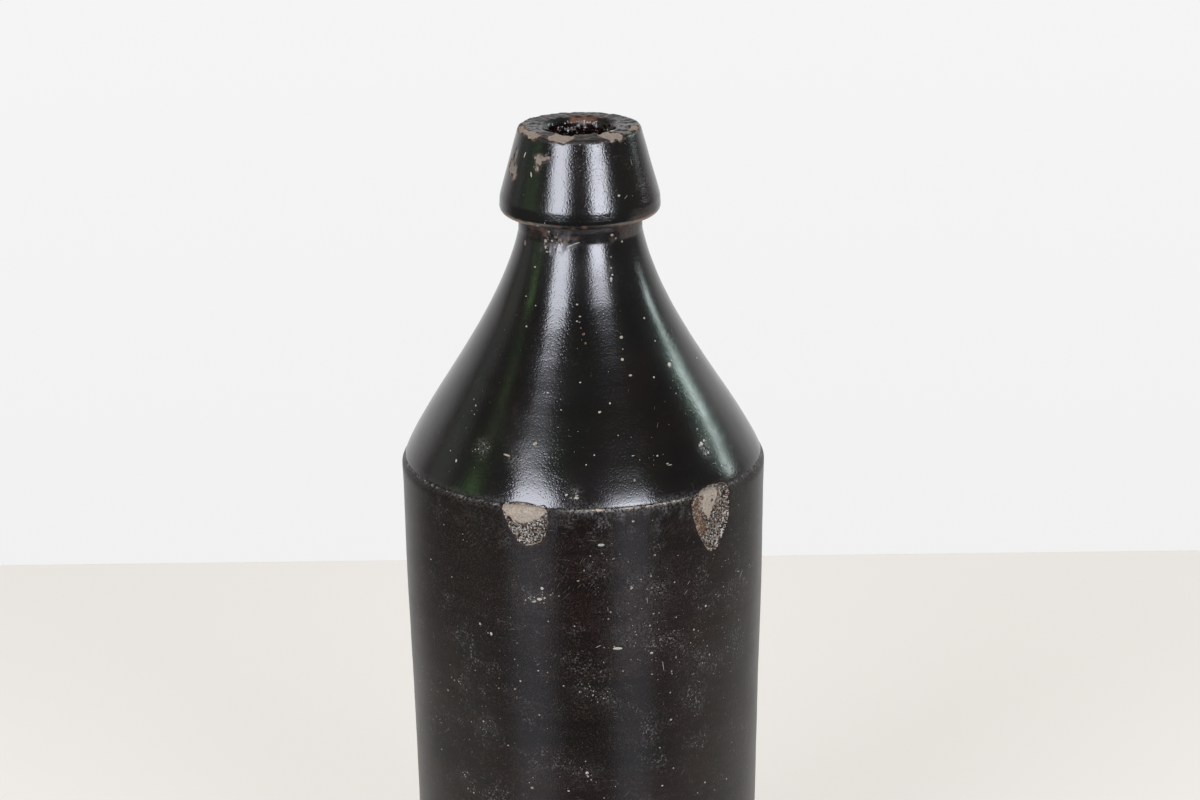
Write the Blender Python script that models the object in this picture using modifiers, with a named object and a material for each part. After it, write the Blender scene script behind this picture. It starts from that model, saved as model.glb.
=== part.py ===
# Stoneware ink bottle in metres, +Z up, origin at the centre of its foot, front towards -Y.
# Three turned pieces are luted together: the body, the shoulder with its neck, and the lip collar.
import math

import bmesh
import bpy
from mathutils import Matrix, Vector

MM = 0.001

# Body: a thrown cylinder, a little wider at the shoulder's edge than at the foot
BODY_HEIGHT = 160.0 * MM  # foot to seam
EDGE_RADIUS = 47.95 * MM  # the shoulder's edge, the widest place
EDGE_DROP = 1.55 * MM  # from the seam down to that edge
EDGE_ROUND = 4.0 * MM
SEAM_INSET = 0.95 * MM  # from the edge in to the seam
FOOT_INSET = 3.25 * MM  # the wall's taper, from the edge in to the foot
FOOT_ROUND = 2.5 * MM
BODY_WALL = 5.5 * MM
FLOOR_THICKNESS = 8.0 * MM
FLOOR_CORNER_ROUND = 9.0 * MM  # inside, between floor and wall

# Shoulder and neck: a cone that sweeps up into a short straight neck
SHOULDER_HEIGHT = 60.6 * MM  # seam to the foot of the neck
BORE_RADIUS = 9.1 * MM
NECK_WALL = 6.8 * MM
NECK_SHOWING = 4.7 * MM  # straight neck below the collar
INNER_FLARE_DROP = 2.5 * MM  # the bore starts to widen this far below the foot of the neck
BEAD_PROUD = 0.4 * MM  # roll of slip round the neck, just under the collar
BEAD_HEIGHT = 1.4 * MM
BEAD_DROP = 0.5 * MM  # from the collar down to the bead

# The sweep of the cone is one cubic curve. Each handle is a share of the step in radius and of the height.
NECK_HANDLE_SHARES = (0.145, 0.377)
SEAM_HANDLE_SHARES = (0.252, 0.254)

# Lip collar: a tapered ring whose socket takes the end of the neck
LIP_HEIGHT = 22.7 * MM
LIP_OVERHANG = 5.3 * MM  # from the neck out to the tapered side, before its lower edge is rounded
LIP_TOP_WALL = 6.7 * MM  # from the bore out to the tapered side, before its upper edge is rounded
LIP_BASE_ROUND = 2.1 * MM
LIP_TOP_ROUND = 0.9 * MM
MOUTH_ROUND = 1.8 * MM
SOCKET_DEPTH = 10.0 * MM
LUTE_GAP = 0.3 * MM  # joint line between two luted pieces

# Kiln scars: shallow scoops at the shoulder's edge. Azimuths turn from the front towards +X.
SEAM_SCAR_AZIMUTH = math.radians(-18.0)  # this one stops at the seam
SEAM_SCAR_WIDTH = 12.5 * MM
SEAM_SCAR_HEIGHT = 10.2 * MM
SEAM_SCAR_DEPTH = 1.1 * MM
SEAM_SCAR_TAPER_SHARE = 0.15
EDGE_SCAR_AZIMUTH = math.radians(44.0)  # this one crosses the seam and the edge
EDGE_SCAR_WIDTH = 13.2 * MM
EDGE_SCAR_RISE = 1.8 * MM  # above the seam
EDGE_SCAR_HEIGHT = 17.4 * MM
EDGE_SCAR_DEPTH = 1.3 * MM
EDGE_SCAR_TAPER_SHARE = 0.3
SCOOP_PROUD_SHARE = 0.5  # share of a scoop's half thickness that stands outside the wall

# Fineness of the mesh
TURN_STEPS = 72
CURVE_STEPS = 14
INNER_CURVE_STEPS = 10
ROUND_STEPS = 4
SCOOP_MERIDIANS = 28
SCOOP_RINGS = 16
MERGE_DISTANCE = 0.01 * MM
SMOOTH_ANGLE = math.radians(35.0)
ROUND_LEG_SHARE = 0.48  # a rounding uses at most this share of a side next to it

# Radii and heights that follow from the sizes above
SEAM_RADIUS = EDGE_RADIUS - SEAM_INSET
FOOT_RADIUS = EDGE_RADIUS - FOOT_INSET
SEAM_INNER_RADIUS = SEAM_RADIUS - BODY_WALL
FOOT_INNER_RADIUS = FOOT_RADIUS - BODY_WALL
NECK_RADIUS = BORE_RADIUS + NECK_WALL
LIP_BASE_RADIUS = NECK_RADIUS + LIP_OVERHANG
LIP_TOP_RADIUS = BORE_RADIUS + LIP_TOP_WALL
SEAM_Z = BODY_HEIGHT
EDGE_Z = SEAM_Z - EDGE_DROP
NECK_FOOT_Z = SEAM_Z + SHOULDER_HEIGHT
COLLAR_Z = NECK_FOOT_Z + NECK_SHOWING
TOP_Z = COLLAR_Z + LIP_HEIGHT
NECK_END_Z = COLLAR_Z + SOCKET_DEPTH - LUTE_GAP
BEAD_TOP_Z = COLLAR_Z - BEAD_DROP

BODY_GLAZE = {"name": "body_glaze", "colour": (0.026, 0.021, 0.018, 1.0), "roughness": 0.42}
SHOULDER_GLAZE = {"name": "shoulder_glaze", "colour": (0.009, 0.008, 0.008, 1.0), "roughness": 0.14}
LIP_GLAZE = {"name": "lip_glaze", "colour": (0.009, 0.009, 0.008, 1.0), "roughness": 0.12}


def remove_scene_objects():
    for item in list(bpy.data.objects):
        bpy.data.objects.remove(item, do_unlink=True)


def new_collection(name):
    collection = bpy.data.collections.new(name)
    bpy.context.scene.collection.children.link(collection)
    return collection


def new_material(finish):
    material = bpy.data.materials.new(finish["name"])
    material.use_nodes = True
    shader = material.node_tree.nodes["Principled BSDF"]
    shader.inputs["Base Color"].default_value = finish["colour"]
    shader.inputs["Roughness"].default_value = finish["roughness"]
    shader.inputs["Metallic"].default_value = 0.0
    material.diffuse_color = finish["colour"]
    return material


def corner_arc(before, corner, after, radius):
    """Points of the arc that rounds a corner between two straight sides."""
    to_before = before - corner
    to_after = after - corner
    half_angle = to_before.angle(to_after) / 2
    shortest = min(to_before.length, to_after.length)
    tangent = min(radius / math.tan(half_angle), shortest * ROUND_LEG_SHARE)
    start = corner + to_before.normalized() * tangent
    end = corner + to_after.normalized() * tangent
    bisector = (to_before.normalized() + to_after.normalized()).normalized()
    centre = corner + bisector * (tangent / math.cos(half_angle))
    spoke = start - centre
    sweep = spoke.angle_signed(end - centre)
    turns = (Matrix.Rotation(-sweep * step / ROUND_STEPS, 2) for step in range(ROUND_STEPS + 1))
    return [centre + turn @ spoke for turn in turns]


def rounded(corners):
    """Turn corners of (radius, height) or (radius, height, round) into outline points."""
    points = []
    for index, corner in enumerate(corners):
        place = Vector(corner[:2])
        if len(corner) == 2:
            points.append(place)
            continue
        before = Vector(corners[index - 1][:2])
        after = Vector(corners[(index + 1) % len(corners)][:2])
        points.extend(corner_arc(before, place, after, corner[2]))
    return points


def sweep_curve(top, bottom, steps):
    """Cubic curve from the neck (radius, height) down to the seam, ends included."""
    across = bottom[0] - top[0]
    down = top[1] - bottom[1]
    neck_handle = (top[0] + across * NECK_HANDLE_SHARES[0], top[1] - down * NECK_HANDLE_SHARES[1])
    seam_handle = (bottom[0] - across * SEAM_HANDLE_SHARES[0], bottom[1] + down * SEAM_HANDLE_SHARES[1])
    places = [Vector(place) for place in (top, neck_handle, seam_handle, bottom)]
    points = []
    for step in range(steps + 1):
        t = step / steps
        weights = ((1 - t) ** 3, 3 * t * (1 - t) ** 2, 3 * t * t * (1 - t), t ** 3)
        point = sum((place * weight for place, weight in zip(places, weights)), Vector((0, 0)))
        points.append((point.x, point.y))
    return points


def turned(name, outline, is_ring, collection, material):
    """Turn an outline in the XZ plane about Z. A ring's outline closes on itself clear of the axis."""
    count = len(outline)
    edges = [(index, index + 1) for index in range(count - 1)]
    if is_ring:
        edges.append((count - 1, 0))
    mesh = bpy.data.meshes.new(name)
    mesh.from_pydata([(point.x, 0, point.y) for point in outline], edges, [])
    piece = bpy.data.objects.new(name, mesh)
    collection.objects.link(piece)
    mesh.materials.append(material)
    screw = piece.modifiers.new("turning", "SCREW")
    screw.axis = "Z"
    screw.angle = math.tau
    screw.steps = TURN_STEPS
    screw.render_steps = TURN_STEPS
    screw.use_merge_vertices = True
    screw.merge_threshold = MERGE_DISTANCE
    screw.use_smooth_shade = True
    return piece


def body_outline():
    """From the inside of the floor, up the inner wall, over the rim and down the outside."""
    return rounded([
        (0, FLOOR_THICKNESS),
        (FOOT_INNER_RADIUS, FLOOR_THICKNESS, FLOOR_CORNER_ROUND),
        (SEAM_INNER_RADIUS, SEAM_Z),
        (SEAM_RADIUS, SEAM_Z),
        (EDGE_RADIUS, EDGE_Z, EDGE_ROUND),
        (FOOT_RADIUS, 0, FOOT_ROUND),
        (0, 0),
    ])


def shoulder_outline():
    """From the bead down the outside to the seam, up the inside and over the end of the neck."""
    seam = SEAM_Z + LUTE_GAP
    bead = [
        (NECK_RADIUS, BEAD_TOP_Z),
        (NECK_RADIUS + BEAD_PROUD, BEAD_TOP_Z - BEAD_HEIGHT / 2, BEAD_HEIGHT),
        (NECK_RADIUS, BEAD_TOP_Z - BEAD_HEIGHT),
    ]
    outside = sweep_curve((NECK_RADIUS, NECK_FOOT_Z), (SEAM_RADIUS, seam), CURVE_STEPS)
    bore_foot = (BORE_RADIUS, NECK_FOOT_Z - INNER_FLARE_DROP)
    inside = sweep_curve(bore_foot, (SEAM_INNER_RADIUS, seam), INNER_CURVE_STEPS)
    inside.reverse()
    neck_end = [(BORE_RADIUS, NECK_END_Z), (NECK_RADIUS, NECK_END_Z)]
    return rounded(bead + outside + inside + neck_end)


def collar_outline():
    """From the top face down the tapered side, along the underside, through the socket and up the bore."""
    socket_radius = NECK_RADIUS + LUTE_GAP
    socket_top = COLLAR_Z + SOCKET_DEPTH
    return rounded([
        (LIP_TOP_RADIUS, TOP_Z, LIP_TOP_ROUND),
        (LIP_BASE_RADIUS, COLLAR_Z, LIP_BASE_ROUND),
        (socket_radius, COLLAR_Z),
        (socket_radius, socket_top),
        (BORE_RADIUS, socket_top),
        (BORE_RADIUS, TOP_Z, MOUTH_ROUND),
    ])


def wall_radius(height):
    """Outer radius of the body's straight wall at a height."""
    share = height / EDGE_Z
    return FOOT_RADIUS + (EDGE_RADIUS - FOOT_RADIUS) * share


def scoop(name, azimuth, top_z, width, height, depth, taper_share, collection):
    """Flattened ball, narrower towards its lower end, pressed into the wall to the given depth."""
    thickness = depth / (1 - SCOOP_PROUD_SHARE)
    proud = thickness * SCOOP_PROUD_SHARE
    footprint_share = math.sqrt(1 - SCOOP_PROUD_SHARE ** 2)
    half_width = width / 2 / footprint_share
    half_height = height / 2 / footprint_share
    ball = bmesh.new()
    bmesh.ops.create_uvsphere(ball, u_segments=SCOOP_MERIDIANS, v_segments=SCOOP_RINGS, radius=1)
    for vertex in ball.verts:
        x, y, z = vertex.co
        narrowing = 1 - taper_share * max(0, -z)
        vertex.co = Vector((x * narrowing * half_width, y * thickness, z * half_height))
    middle_z = top_z - height / 2
    distance = wall_radius(middle_z) + proud
    place = Vector((distance * math.sin(azimuth), -distance * math.cos(azimuth), middle_z))
    ball.transform(Matrix.Translation(place) @ Matrix.Rotation(azimuth, 4, "Z"))
    mesh = bpy.data.meshes.new(name)
    ball.to_mesh(mesh)
    ball.free()
    cutter = bpy.data.objects.new(name, mesh)
    collection.objects.link(cutter)
    cutter.hide_render = True
    cutter.display_type = "WIRE"
    return cutter


def cut(piece, cutter):
    boolean = piece.modifiers.new(cutter.name, "BOOLEAN")
    boolean.operation = "DIFFERENCE"
    boolean.solver = "EXACT"
    boolean.object = cutter


def shade(piece):
    """Round faces smooth, true edges sharp."""
    piece.data.shade_smooth()
    piece.data.set_sharp_from_angle(angle=SMOOTH_ANGLE)


def main():
    remove_scene_objects()
    parts = new_collection("stoneware_ink_bottle")
    cutters = new_collection("cutters")

    body = turned("body", body_outline(), False, parts, new_material(BODY_GLAZE))
    shoulder = turned("shoulder_and_neck", shoulder_outline(), True, parts, new_material(SHOULDER_GLAZE))
    collar = turned("lip_collar", collar_outline(), True, parts, new_material(LIP_GLAZE))

    # The seam scar's scoop is centred on the seam and cuts only the body, so its top edge is the seam
    seam_scar = scoop("seam_scar", SEAM_SCAR_AZIMUTH, SEAM_Z + SEAM_SCAR_HEIGHT, SEAM_SCAR_WIDTH,
                      2 * SEAM_SCAR_HEIGHT, SEAM_SCAR_DEPTH, SEAM_SCAR_TAPER_SHARE, cutters)
    edge_scar = scoop("edge_scar", EDGE_SCAR_AZIMUTH, SEAM_Z + EDGE_SCAR_RISE, EDGE_SCAR_WIDTH,
                      EDGE_SCAR_HEIGHT, EDGE_SCAR_DEPTH, EDGE_SCAR_TAPER_SHARE, cutters)
    cut(body, seam_scar)
    cut(body, edge_scar)
    cut(shoulder, edge_scar)

    for piece in (body, shoulder, collar):
        shade(piece)


main()
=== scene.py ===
import math
import random

import bmesh
import bpy
import numpy as np
from mathutils import Matrix, Vector, noise
from mathutils.bvhtree import BVHTree


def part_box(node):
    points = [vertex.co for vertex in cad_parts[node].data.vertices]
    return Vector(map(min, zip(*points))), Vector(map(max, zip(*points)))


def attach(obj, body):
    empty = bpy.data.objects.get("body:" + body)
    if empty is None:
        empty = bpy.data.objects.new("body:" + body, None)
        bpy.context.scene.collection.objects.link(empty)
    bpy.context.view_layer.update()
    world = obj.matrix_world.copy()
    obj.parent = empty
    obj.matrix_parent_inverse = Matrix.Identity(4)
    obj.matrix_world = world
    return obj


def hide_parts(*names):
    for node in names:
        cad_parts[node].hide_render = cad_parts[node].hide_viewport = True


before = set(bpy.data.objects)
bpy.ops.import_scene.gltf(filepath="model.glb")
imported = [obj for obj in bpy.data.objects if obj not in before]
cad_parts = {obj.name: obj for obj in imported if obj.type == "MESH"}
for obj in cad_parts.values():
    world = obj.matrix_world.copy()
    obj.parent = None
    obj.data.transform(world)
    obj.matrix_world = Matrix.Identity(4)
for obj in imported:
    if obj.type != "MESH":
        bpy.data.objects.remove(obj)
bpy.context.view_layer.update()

mm = 0.001
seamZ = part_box("body")[1][2]
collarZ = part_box("lip_collar")[0][2]
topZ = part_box("lip_collar")[1][2]
scene = bpy.context.scene

look = {
    "lens": 101.3,  # mm on a 36 mm wide sensor
    "place": (0.0, -0.846, 0.4517),
    "down": math.radians(18.2),
    "aside": 0.00545,  # radians towards +X
    "roll": 0.0105,
}

studio = {
    "tableColour": (0.84, 0.805, 0.765, 1.0),
    "tableShade": 0.975,  # how much of that its darker clouds keep
    "tableSize": (0.48, 0.46),  # width, depth
    "tableFrontY": -0.12,
    "tableThickness": 0.03,
    "wallTone": 0.91,
    "wallToneLow": 0.88,
    "distance": 2.2,  # from the bottle to each softbox
    "aim": (0.0, 0.0, 0.15),
}


# Node helpers. A Flow is a node's output that takes part in sums, and flow["Name"] is that node's other output.
def pickSocket(sockets, name):
    if isinstance(name, int):
        return sockets[name]
    return next(socket for socket in sockets if socket.name == name and socket.enabled)


def feed(tree, socket, value):
    if isinstance(value, Flow):
        tree.links.new(value.socket, socket)
    else:
        socket.default_value = value


def addNode(tree, kind, inputs=None, **settings):
    node = tree.nodes.new(kind)
    for name, value in settings.items():
        setattr(node, name, value)
    for name, value in (inputs or {}).items():
        feed(tree, pickSocket(node.inputs, name), value)
    return Flow(tree, node)


def calculate(operation, *values):
    tree = next(value.tree for value in values if isinstance(value, Flow))
    return addNode(tree, "ShaderNodeMath", dict(enumerate(values)), operation=operation)


def mathMethod(operation, swapped=False):
    return lambda flow, other: calculate(operation, *((other, flow) if swapped else (flow, other)))


class Flow:
    def __init__(self, tree, node, name=0):
        self.tree = tree
        self.node = node
        self.socket = pickSocket(node.outputs, name)

    def __getitem__(self, name):
        return Flow(self.tree, self.node, name)

    __add__ = mathMethod("ADD")
    __mul__ = mathMethod("MULTIPLY")
    __sub__ = mathMethod("SUBTRACT")
    __rsub__ = mathMethod("SUBTRACT", True)
    __truediv__ = mathMethod("DIVIDE")
    __rtruediv__ = mathMethod("DIVIDE", True)


def band(value, low, high, lowResult=0.0, highResult=1.0, smooth=False):
    inputs = {"Value": value, "From Min": low, "From Max": high, "To Min": lowResult, "To Max": highResult}
    kind = "SMOOTHSTEP" if smooth else "LINEAR"
    return addNode(value.tree, "ShaderNodeMapRange", inputs, interpolation_type=kind, clamp=True)


def blend(factor, first, second, kind="RGBA"):
    inputs = {"Factor": factor, "A": first, "B": second}
    return addNode(factor.tree, "ShaderNodeMix", inputs, data_type=kind)["Result"]


def stretched(place, scale):
    return addNode(place.tree, "ShaderNodeVectorMath", {0: place, 1: scale}, operation="MULTIPLY")


def turnedBy(place, angle):
    inputs = {"Vector": place, "Angle": angle}
    return addNode(place.tree, "ShaderNodeVectorRotate", inputs, rotation_type="Z_AXIS")


def cloud(place, scale, detail=2.0, rough=0.5, distortion=0.0):
    inputs = {"Vector": place, "Scale": scale, "Detail": detail, "Roughness": rough, "Distortion": distortion}
    return addNode(place.tree, "ShaderNodeTexNoise", inputs)


def cells(place, scale):
    return addNode(place.tree, "ShaderNodeTexVoronoi", {"Vector": place, "Scale": scale}, feature="F1")


def lotOf(cell, channel):  # a random share for each cell
    return addNode(cell.tree, "ShaderNodeSeparateColor", {0: cell["Color"]})[channel]


def startMaterial(name):
    material = bpy.data.materials.new(name)
    material.use_nodes = True
    tree = material.node_tree
    place = addNode(tree, "ShaderNodeTexCoord")["Object"]
    return material, tree, tree.nodes["Principled BSDF"].inputs, place


def addBump(tree, inputs, height, distance):
    bump = addNode(tree, "ShaderNodeBump", {"Height": height, "Distance": distance, "Strength": 1.0})
    feed(tree, inputs["Normal"], bump)


# Camera, table, wall and softboxes
def addCamera():
    data = bpy.data.cameras.new("camera")
    data.lens = look["lens"]
    data.clip_start = 0.05
    camera = bpy.data.objects.new("camera", data)
    scene.collection.objects.link(camera)
    level = Matrix.Rotation(-look["aside"], 4, "Z") @ Matrix.Rotation(math.pi / 2 - look["down"], 4, "X")
    rolled = level @ Matrix.Rotation(-look["roll"], 4, "Z")
    camera.matrix_world = Matrix.Translation(look["place"]) @ rolled
    scene.camera = camera


def tableMaterial():
    material, tree, inputs, place = startMaterial("paleTable")
    pale = studio["tableColour"]
    darker = tuple(channel * studio["tableShade"] for channel in pale[:3]) + (1.0,)
    feed(tree, inputs["Base Color"], blend(cloud(place, 9.0, 3.0), darker, pale))
    inputs["Roughness"].default_value = 0.75
    inputs["Specular IOR Level"].default_value = 0.2
    return material


def addTable():
    width, depth = studio["tableSize"]
    thickness = studio["tableThickness"]
    work = bmesh.new()
    middle = Vector((0, studio["tableFrontY"] + depth / 2, -thickness / 2))
    block = Matrix.LocRotScale(middle, None, (width, depth, thickness))
    bmesh.ops.create_cube(work, size=1, matrix=block)
    bmesh.ops.bevel(work, geom=work.edges[:], offset=2 * mm, segments=3, affect="EDGES", profile=0.5)
    mesh = bpy.data.meshes.new("table")
    work.to_mesh(mesh)
    work.free()
    mesh.materials.append(tableMaterial())
    table = bpy.data.objects.new("table", mesh)
    scene.collection.objects.link(table)


# Every softbox is (middle azimuth, middle elevation, width, height in degrees, brightness, colour).
# An azimuth turns from the front towards +X. The two windows stand in front, the strips beside the bottle.
dayWhite = (0.87, 0.89, 1.0)
softboxes = {
    "leftWindow": (-32.6, 13.0, 26.3, 23.0, 4.2, dayWhite),
    "leftWindowMiddle": (-32.8, 28.0, 25.0, 7.0, 3.8, dayWhite),
    "leftWindowUpper": (-33.5, 33.6, 21.0, 4.2, 3.3, dayWhite),
    "leftWindowTop": (-37.5, 37.7, 17.0, 4.0, 1.0, dayWhite),
    "leftWindowHaze": (-39.5, 42.0, 14.0, 4.6, 0.30, dayWhite),
    "leftWindowGlow": (-42.0, 54.0, 11.0, 20.0, 0.15, dayWhite),
    "rightWindow": (29.2, 12.0, 22.5, 21.0, 5.0, dayWhite),
    "rightWindowMiddle": (29.6, 24.7, 23.0, 4.4, 3.0, dayWhite),
    "rightWindowUpper": (30.6, 29.0, 23.0, 4.4, 1.25, dayWhite),
    "rightWindowTop": (32.0, 34.0, 17.0, 5.6, 0.26, dayWhite),
    "sideStrip": (109.0, 13.5, 7.0, 9.0, 2.7, (0.86, 1.0, 0.98)),
    "sideStripHigh": (114.5, 27.0, 6.4, 18.0, 4.4, (0.86, 1.0, 0.98)),
    "rightRoom": (102.0, -18.5, 46.0, 22.0, 0.30, (1.0, 0.88, 0.82)),
    "leftRoom": (-106.0, 12.0, 18.0, 26.0, 0.10, (0.85, 1.0, 0.85)),
    "gardenRight": (113.0, 27.0, 20.0, 26.0, 0.22, (0.48, 1.0, 0.70)),
    "gardenPatch": (-77.0, 20.0, 8.0, 10.0, 0.36, (0.50, 1.0, 0.32)),
    "gardenStrip": (-86.0, 8.0, 6.0, 13.0, 0.22, (0.55, 1.0, 0.50)),
    "gardenLow": (-71.5, 7.0, 9.0, 9.0, 0.27, (0.55, 1.0, 0.46)),
    "gardenHigh": (-80.0, 33.0, 8.0, 6.0, 0.16, (0.60, 1.0, 0.42)),
    "overhead": (0.0, 88.0, 34.0, 34.0, 5.15, (1.0, 0.99, 0.965)),
}


def addSoftboxes():
    aim = Vector(studio["aim"])
    distance = studio["distance"]
    for name, (azimuth, elevation, width, height, brightness, colour) in softboxes.items():
        data = bpy.data.lights.new(name, "AREA")
        data.shape = "RECTANGLE"
        data.size = 2 * distance * math.tan(math.radians(width / 2))
        data.size_y = 2 * distance * math.tan(math.radians(height / 2))
        data.energy = brightness * math.pi * data.size * data.size_y
        data.color = colour
        side, rise = math.radians(azimuth), math.radians(elevation)
        away = Vector((math.cos(rise) * math.sin(side), -math.cos(rise) * math.cos(side), math.sin(rise)))
        lamp = bpy.data.objects.new(name, data)
        scene.collection.objects.link(lamp)
        lamp.location = aim + away * distance
        lamp.rotation_euler = away.to_track_quat("Z", "Y").to_euler()
        lamp.visible_camera = False
        lamp.visible_glossy = name != "overhead"  # a ceiling lamp out of the glaze's sight


# The wall is pale to the camera. Reflections see it pale behind the bottle and a dim room in front.
room = {
    "front": 0.04,
    "side": 0.07,
    "back": 0.88,
    "sideAzimuth": 118.0,
    "backAzimuth": 174.0,
    "fadeLow": 23.0,  # elevation where the wall starts to fade, and where it has gone
    "fadeHigh": 36.0,
    "wallRise": (-0.36, -0.2),  # where the camera sees the wall turn from low to full tone
    "ceiling": 0.035,
    "soft": 0.42,  # what dull surfaces get from all round
}


def buildWorld():
    world = bpy.data.worlds.new("studioWorld")
    scene.world = world
    world.use_nodes = True
    world.cycles.sampling_method = "NONE"  # so that Light Path knows a reflection from dull light
    tree = world.node_tree
    background = tree.nodes["Background"].inputs
    axes = addNode(tree, "ShaderNodeSeparateXYZ", {0: addNode(tree, "ShaderNodeTexCoord")["Generated"]})
    rise = axes["Z"]
    level = calculate("SQRT", calculate("MAXIMUM", 1.0 - rise * rise, 0.0001))
    heading = axes["Y"] / level  # -1 at the front, 1 at the back
    side, back = (-math.cos(math.radians(room[key])) for key in ("sideAzimuth", "backAzimuth"))
    around = band(heading, -1.0, side, room["front"], room["side"])
    around = around + band(heading, side, back, 0.0, room["back"] - room["side"])
    fadeLow, fadeHigh = (math.sin(math.radians(room[key])) for key in ("fadeLow", "fadeHigh"))
    reflected = around * band(rise, fadeLow, fadeHigh, 1.0, 0.0, True)
    reflected = calculate("MAXIMUM", reflected, room["ceiling"])
    wall = band(rise, *room["wallRise"], studio["wallToneLow"], studio["wallTone"])
    rays = addNode(tree, "ShaderNodeLightPath")
    seen = rays["Is Camera Ray"]
    glossy = calculate("MAXIMUM", rays["Is Glossy Ray"], rays["Is Transmission Ray"])
    dull = 1.0 - calculate("MAXIMUM", glossy, seen)
    feed(tree, background["Strength"], wall * seen + reflected * glossy + dull * room["soft"])
    background["Color"].default_value = (1.0, 1.0, 1.0, 1.0)


scene.view_settings.view_transform = "Standard"
addCamera()
addTable()
addSoftboxes()
buildWorld()
print("camera, table, wall and softboxes are in place")


# Outlines are lists of (radius, height) in metres, turned about Z
def cornerArc(before, corner, after, radius, steps):
    toBefore = before - corner
    toAfter = after - corner
    halfAngle = toBefore.angle(toAfter) / 2
    tangent = min(radius / math.tan(halfAngle), min(toBefore.length, toAfter.length) * 0.48)
    start = corner + toBefore.normalized() * tangent
    end = corner + toAfter.normalized() * tangent
    bisector = (toBefore.normalized() + toAfter.normalized()).normalized()
    centre = corner + bisector * (tangent / math.cos(halfAngle))
    spoke = start - centre
    sweep = spoke.angle_signed(end - centre)
    turns = (Matrix.Rotation(-sweep * step / steps, 2) for step in range(steps + 1))
    return [centre + turn @ spoke for turn in turns]


def roundedOutline(corners, steps=6):  # a corner in mm is (radius, height) or has its rounding too
    points = []
    for index, corner in enumerate(corners):
        place = Vector(corner[:2]) * mm
        if len(corner) == 2:
            points.append(place)
            continue
        before = Vector(corners[index - 1][:2]) * mm
        after = Vector(corners[(index + 1) % len(corners)][:2]) * mm
        points.extend(cornerArc(before, place, after, corner[2] * mm, steps))
    return points


def spacedOutline(points, gapAt):  # adds points so that no gap is wider than gapAt says, in mm
    result = [points[0]]
    for start, end in zip(points, points[1:]):
        count = max(1, math.ceil((end - start).length / (gapAt((start + end) / 2) * mm)))
        result.extend(start.lerp(end, step / count) for step in range(1, count + 1))
    return result


def sweepCurve(top, bottom, shape, steps):
    across, down = bottom[0] - top[0], top[1] - bottom[1]
    neckShares, seamShares = shape["neckShares"], shape["seamShares"]
    neckHandle = (top[0] + across * neckShares[0], top[1] - down * neckShares[1])
    seamHandle = (bottom[0] - across * seamShares[0], bottom[1] + down * seamShares[1])
    ends = [Vector(place) for place in (top, neckHandle, seamHandle, bottom)]
    points = []
    for step in range(steps + 1):
        t = step / steps
        weights = ((1 - t) ** 3, 3 * t * (1 - t) ** 2, 3 * t * t * (1 - t), t ** 3)
        points.append(sum((end * weight for end, weight in zip(ends, weights)), Vector((0, 0))))
    return [tuple(point) for point in points]


def ramp(value, low, high):  # limits in mm
    return min(1.0, max(0.0, (value / mm - low) / (high - low)))


# Geometry Nodes: turns an outline about Z and lets the wall wander as a thrown wall does
def newTree(name, sockets):
    tree = bpy.data.node_groups.new(name, "GeometryNodeTree")
    for label, kind in sockets.items():
        tree.interface.new_socket(name=label, in_out="INPUT", socket_type="NodeSocket" + kind)
    tree.interface.new_socket(name="Geometry", in_out="OUTPUT", socket_type="NodeSocketGeometry")
    return tree, Flow(tree, tree.nodes.new("NodeGroupInput"))


def namedValue(tree, name, kind="FLOAT"):
    return addNode(tree, "GeometryNodeInputNamedAttribute", {"Name": name}, data_type=kind)["Attribute"]


def sampled(geometry, value, index, kind="FLOAT"):
    inputs = {"Geometry": geometry, "Value": value, "Index": index}
    return addNode(geometry.tree, "GeometryNodeSampleIndex", inputs, data_type=kind)["Value"]


def pushedOut(geometry, distance):  # moves every point along its normal
    tree = geometry.tree
    inputs = {0: addNode(tree, "GeometryNodeInputNormal"), "Scale": distance}
    offset = addNode(tree, "ShaderNodeVectorMath", inputs, operation="SCALE")
    return addNode(tree, "GeometryNodeSetPosition", {"Geometry": geometry, "Offset": offset})


def finishTree(geometry, material):
    tree = geometry.tree
    real = addNode(tree, "GeometryNodeRealizeInstances", {"Geometry": geometry})
    painted = addNode(tree, "GeometryNodeSetMaterial", {"Geometry": real, "Material": material})
    feed(tree, tree.nodes.new("NodeGroupOutput").inputs["Geometry"], painted)
    return tree


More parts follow.
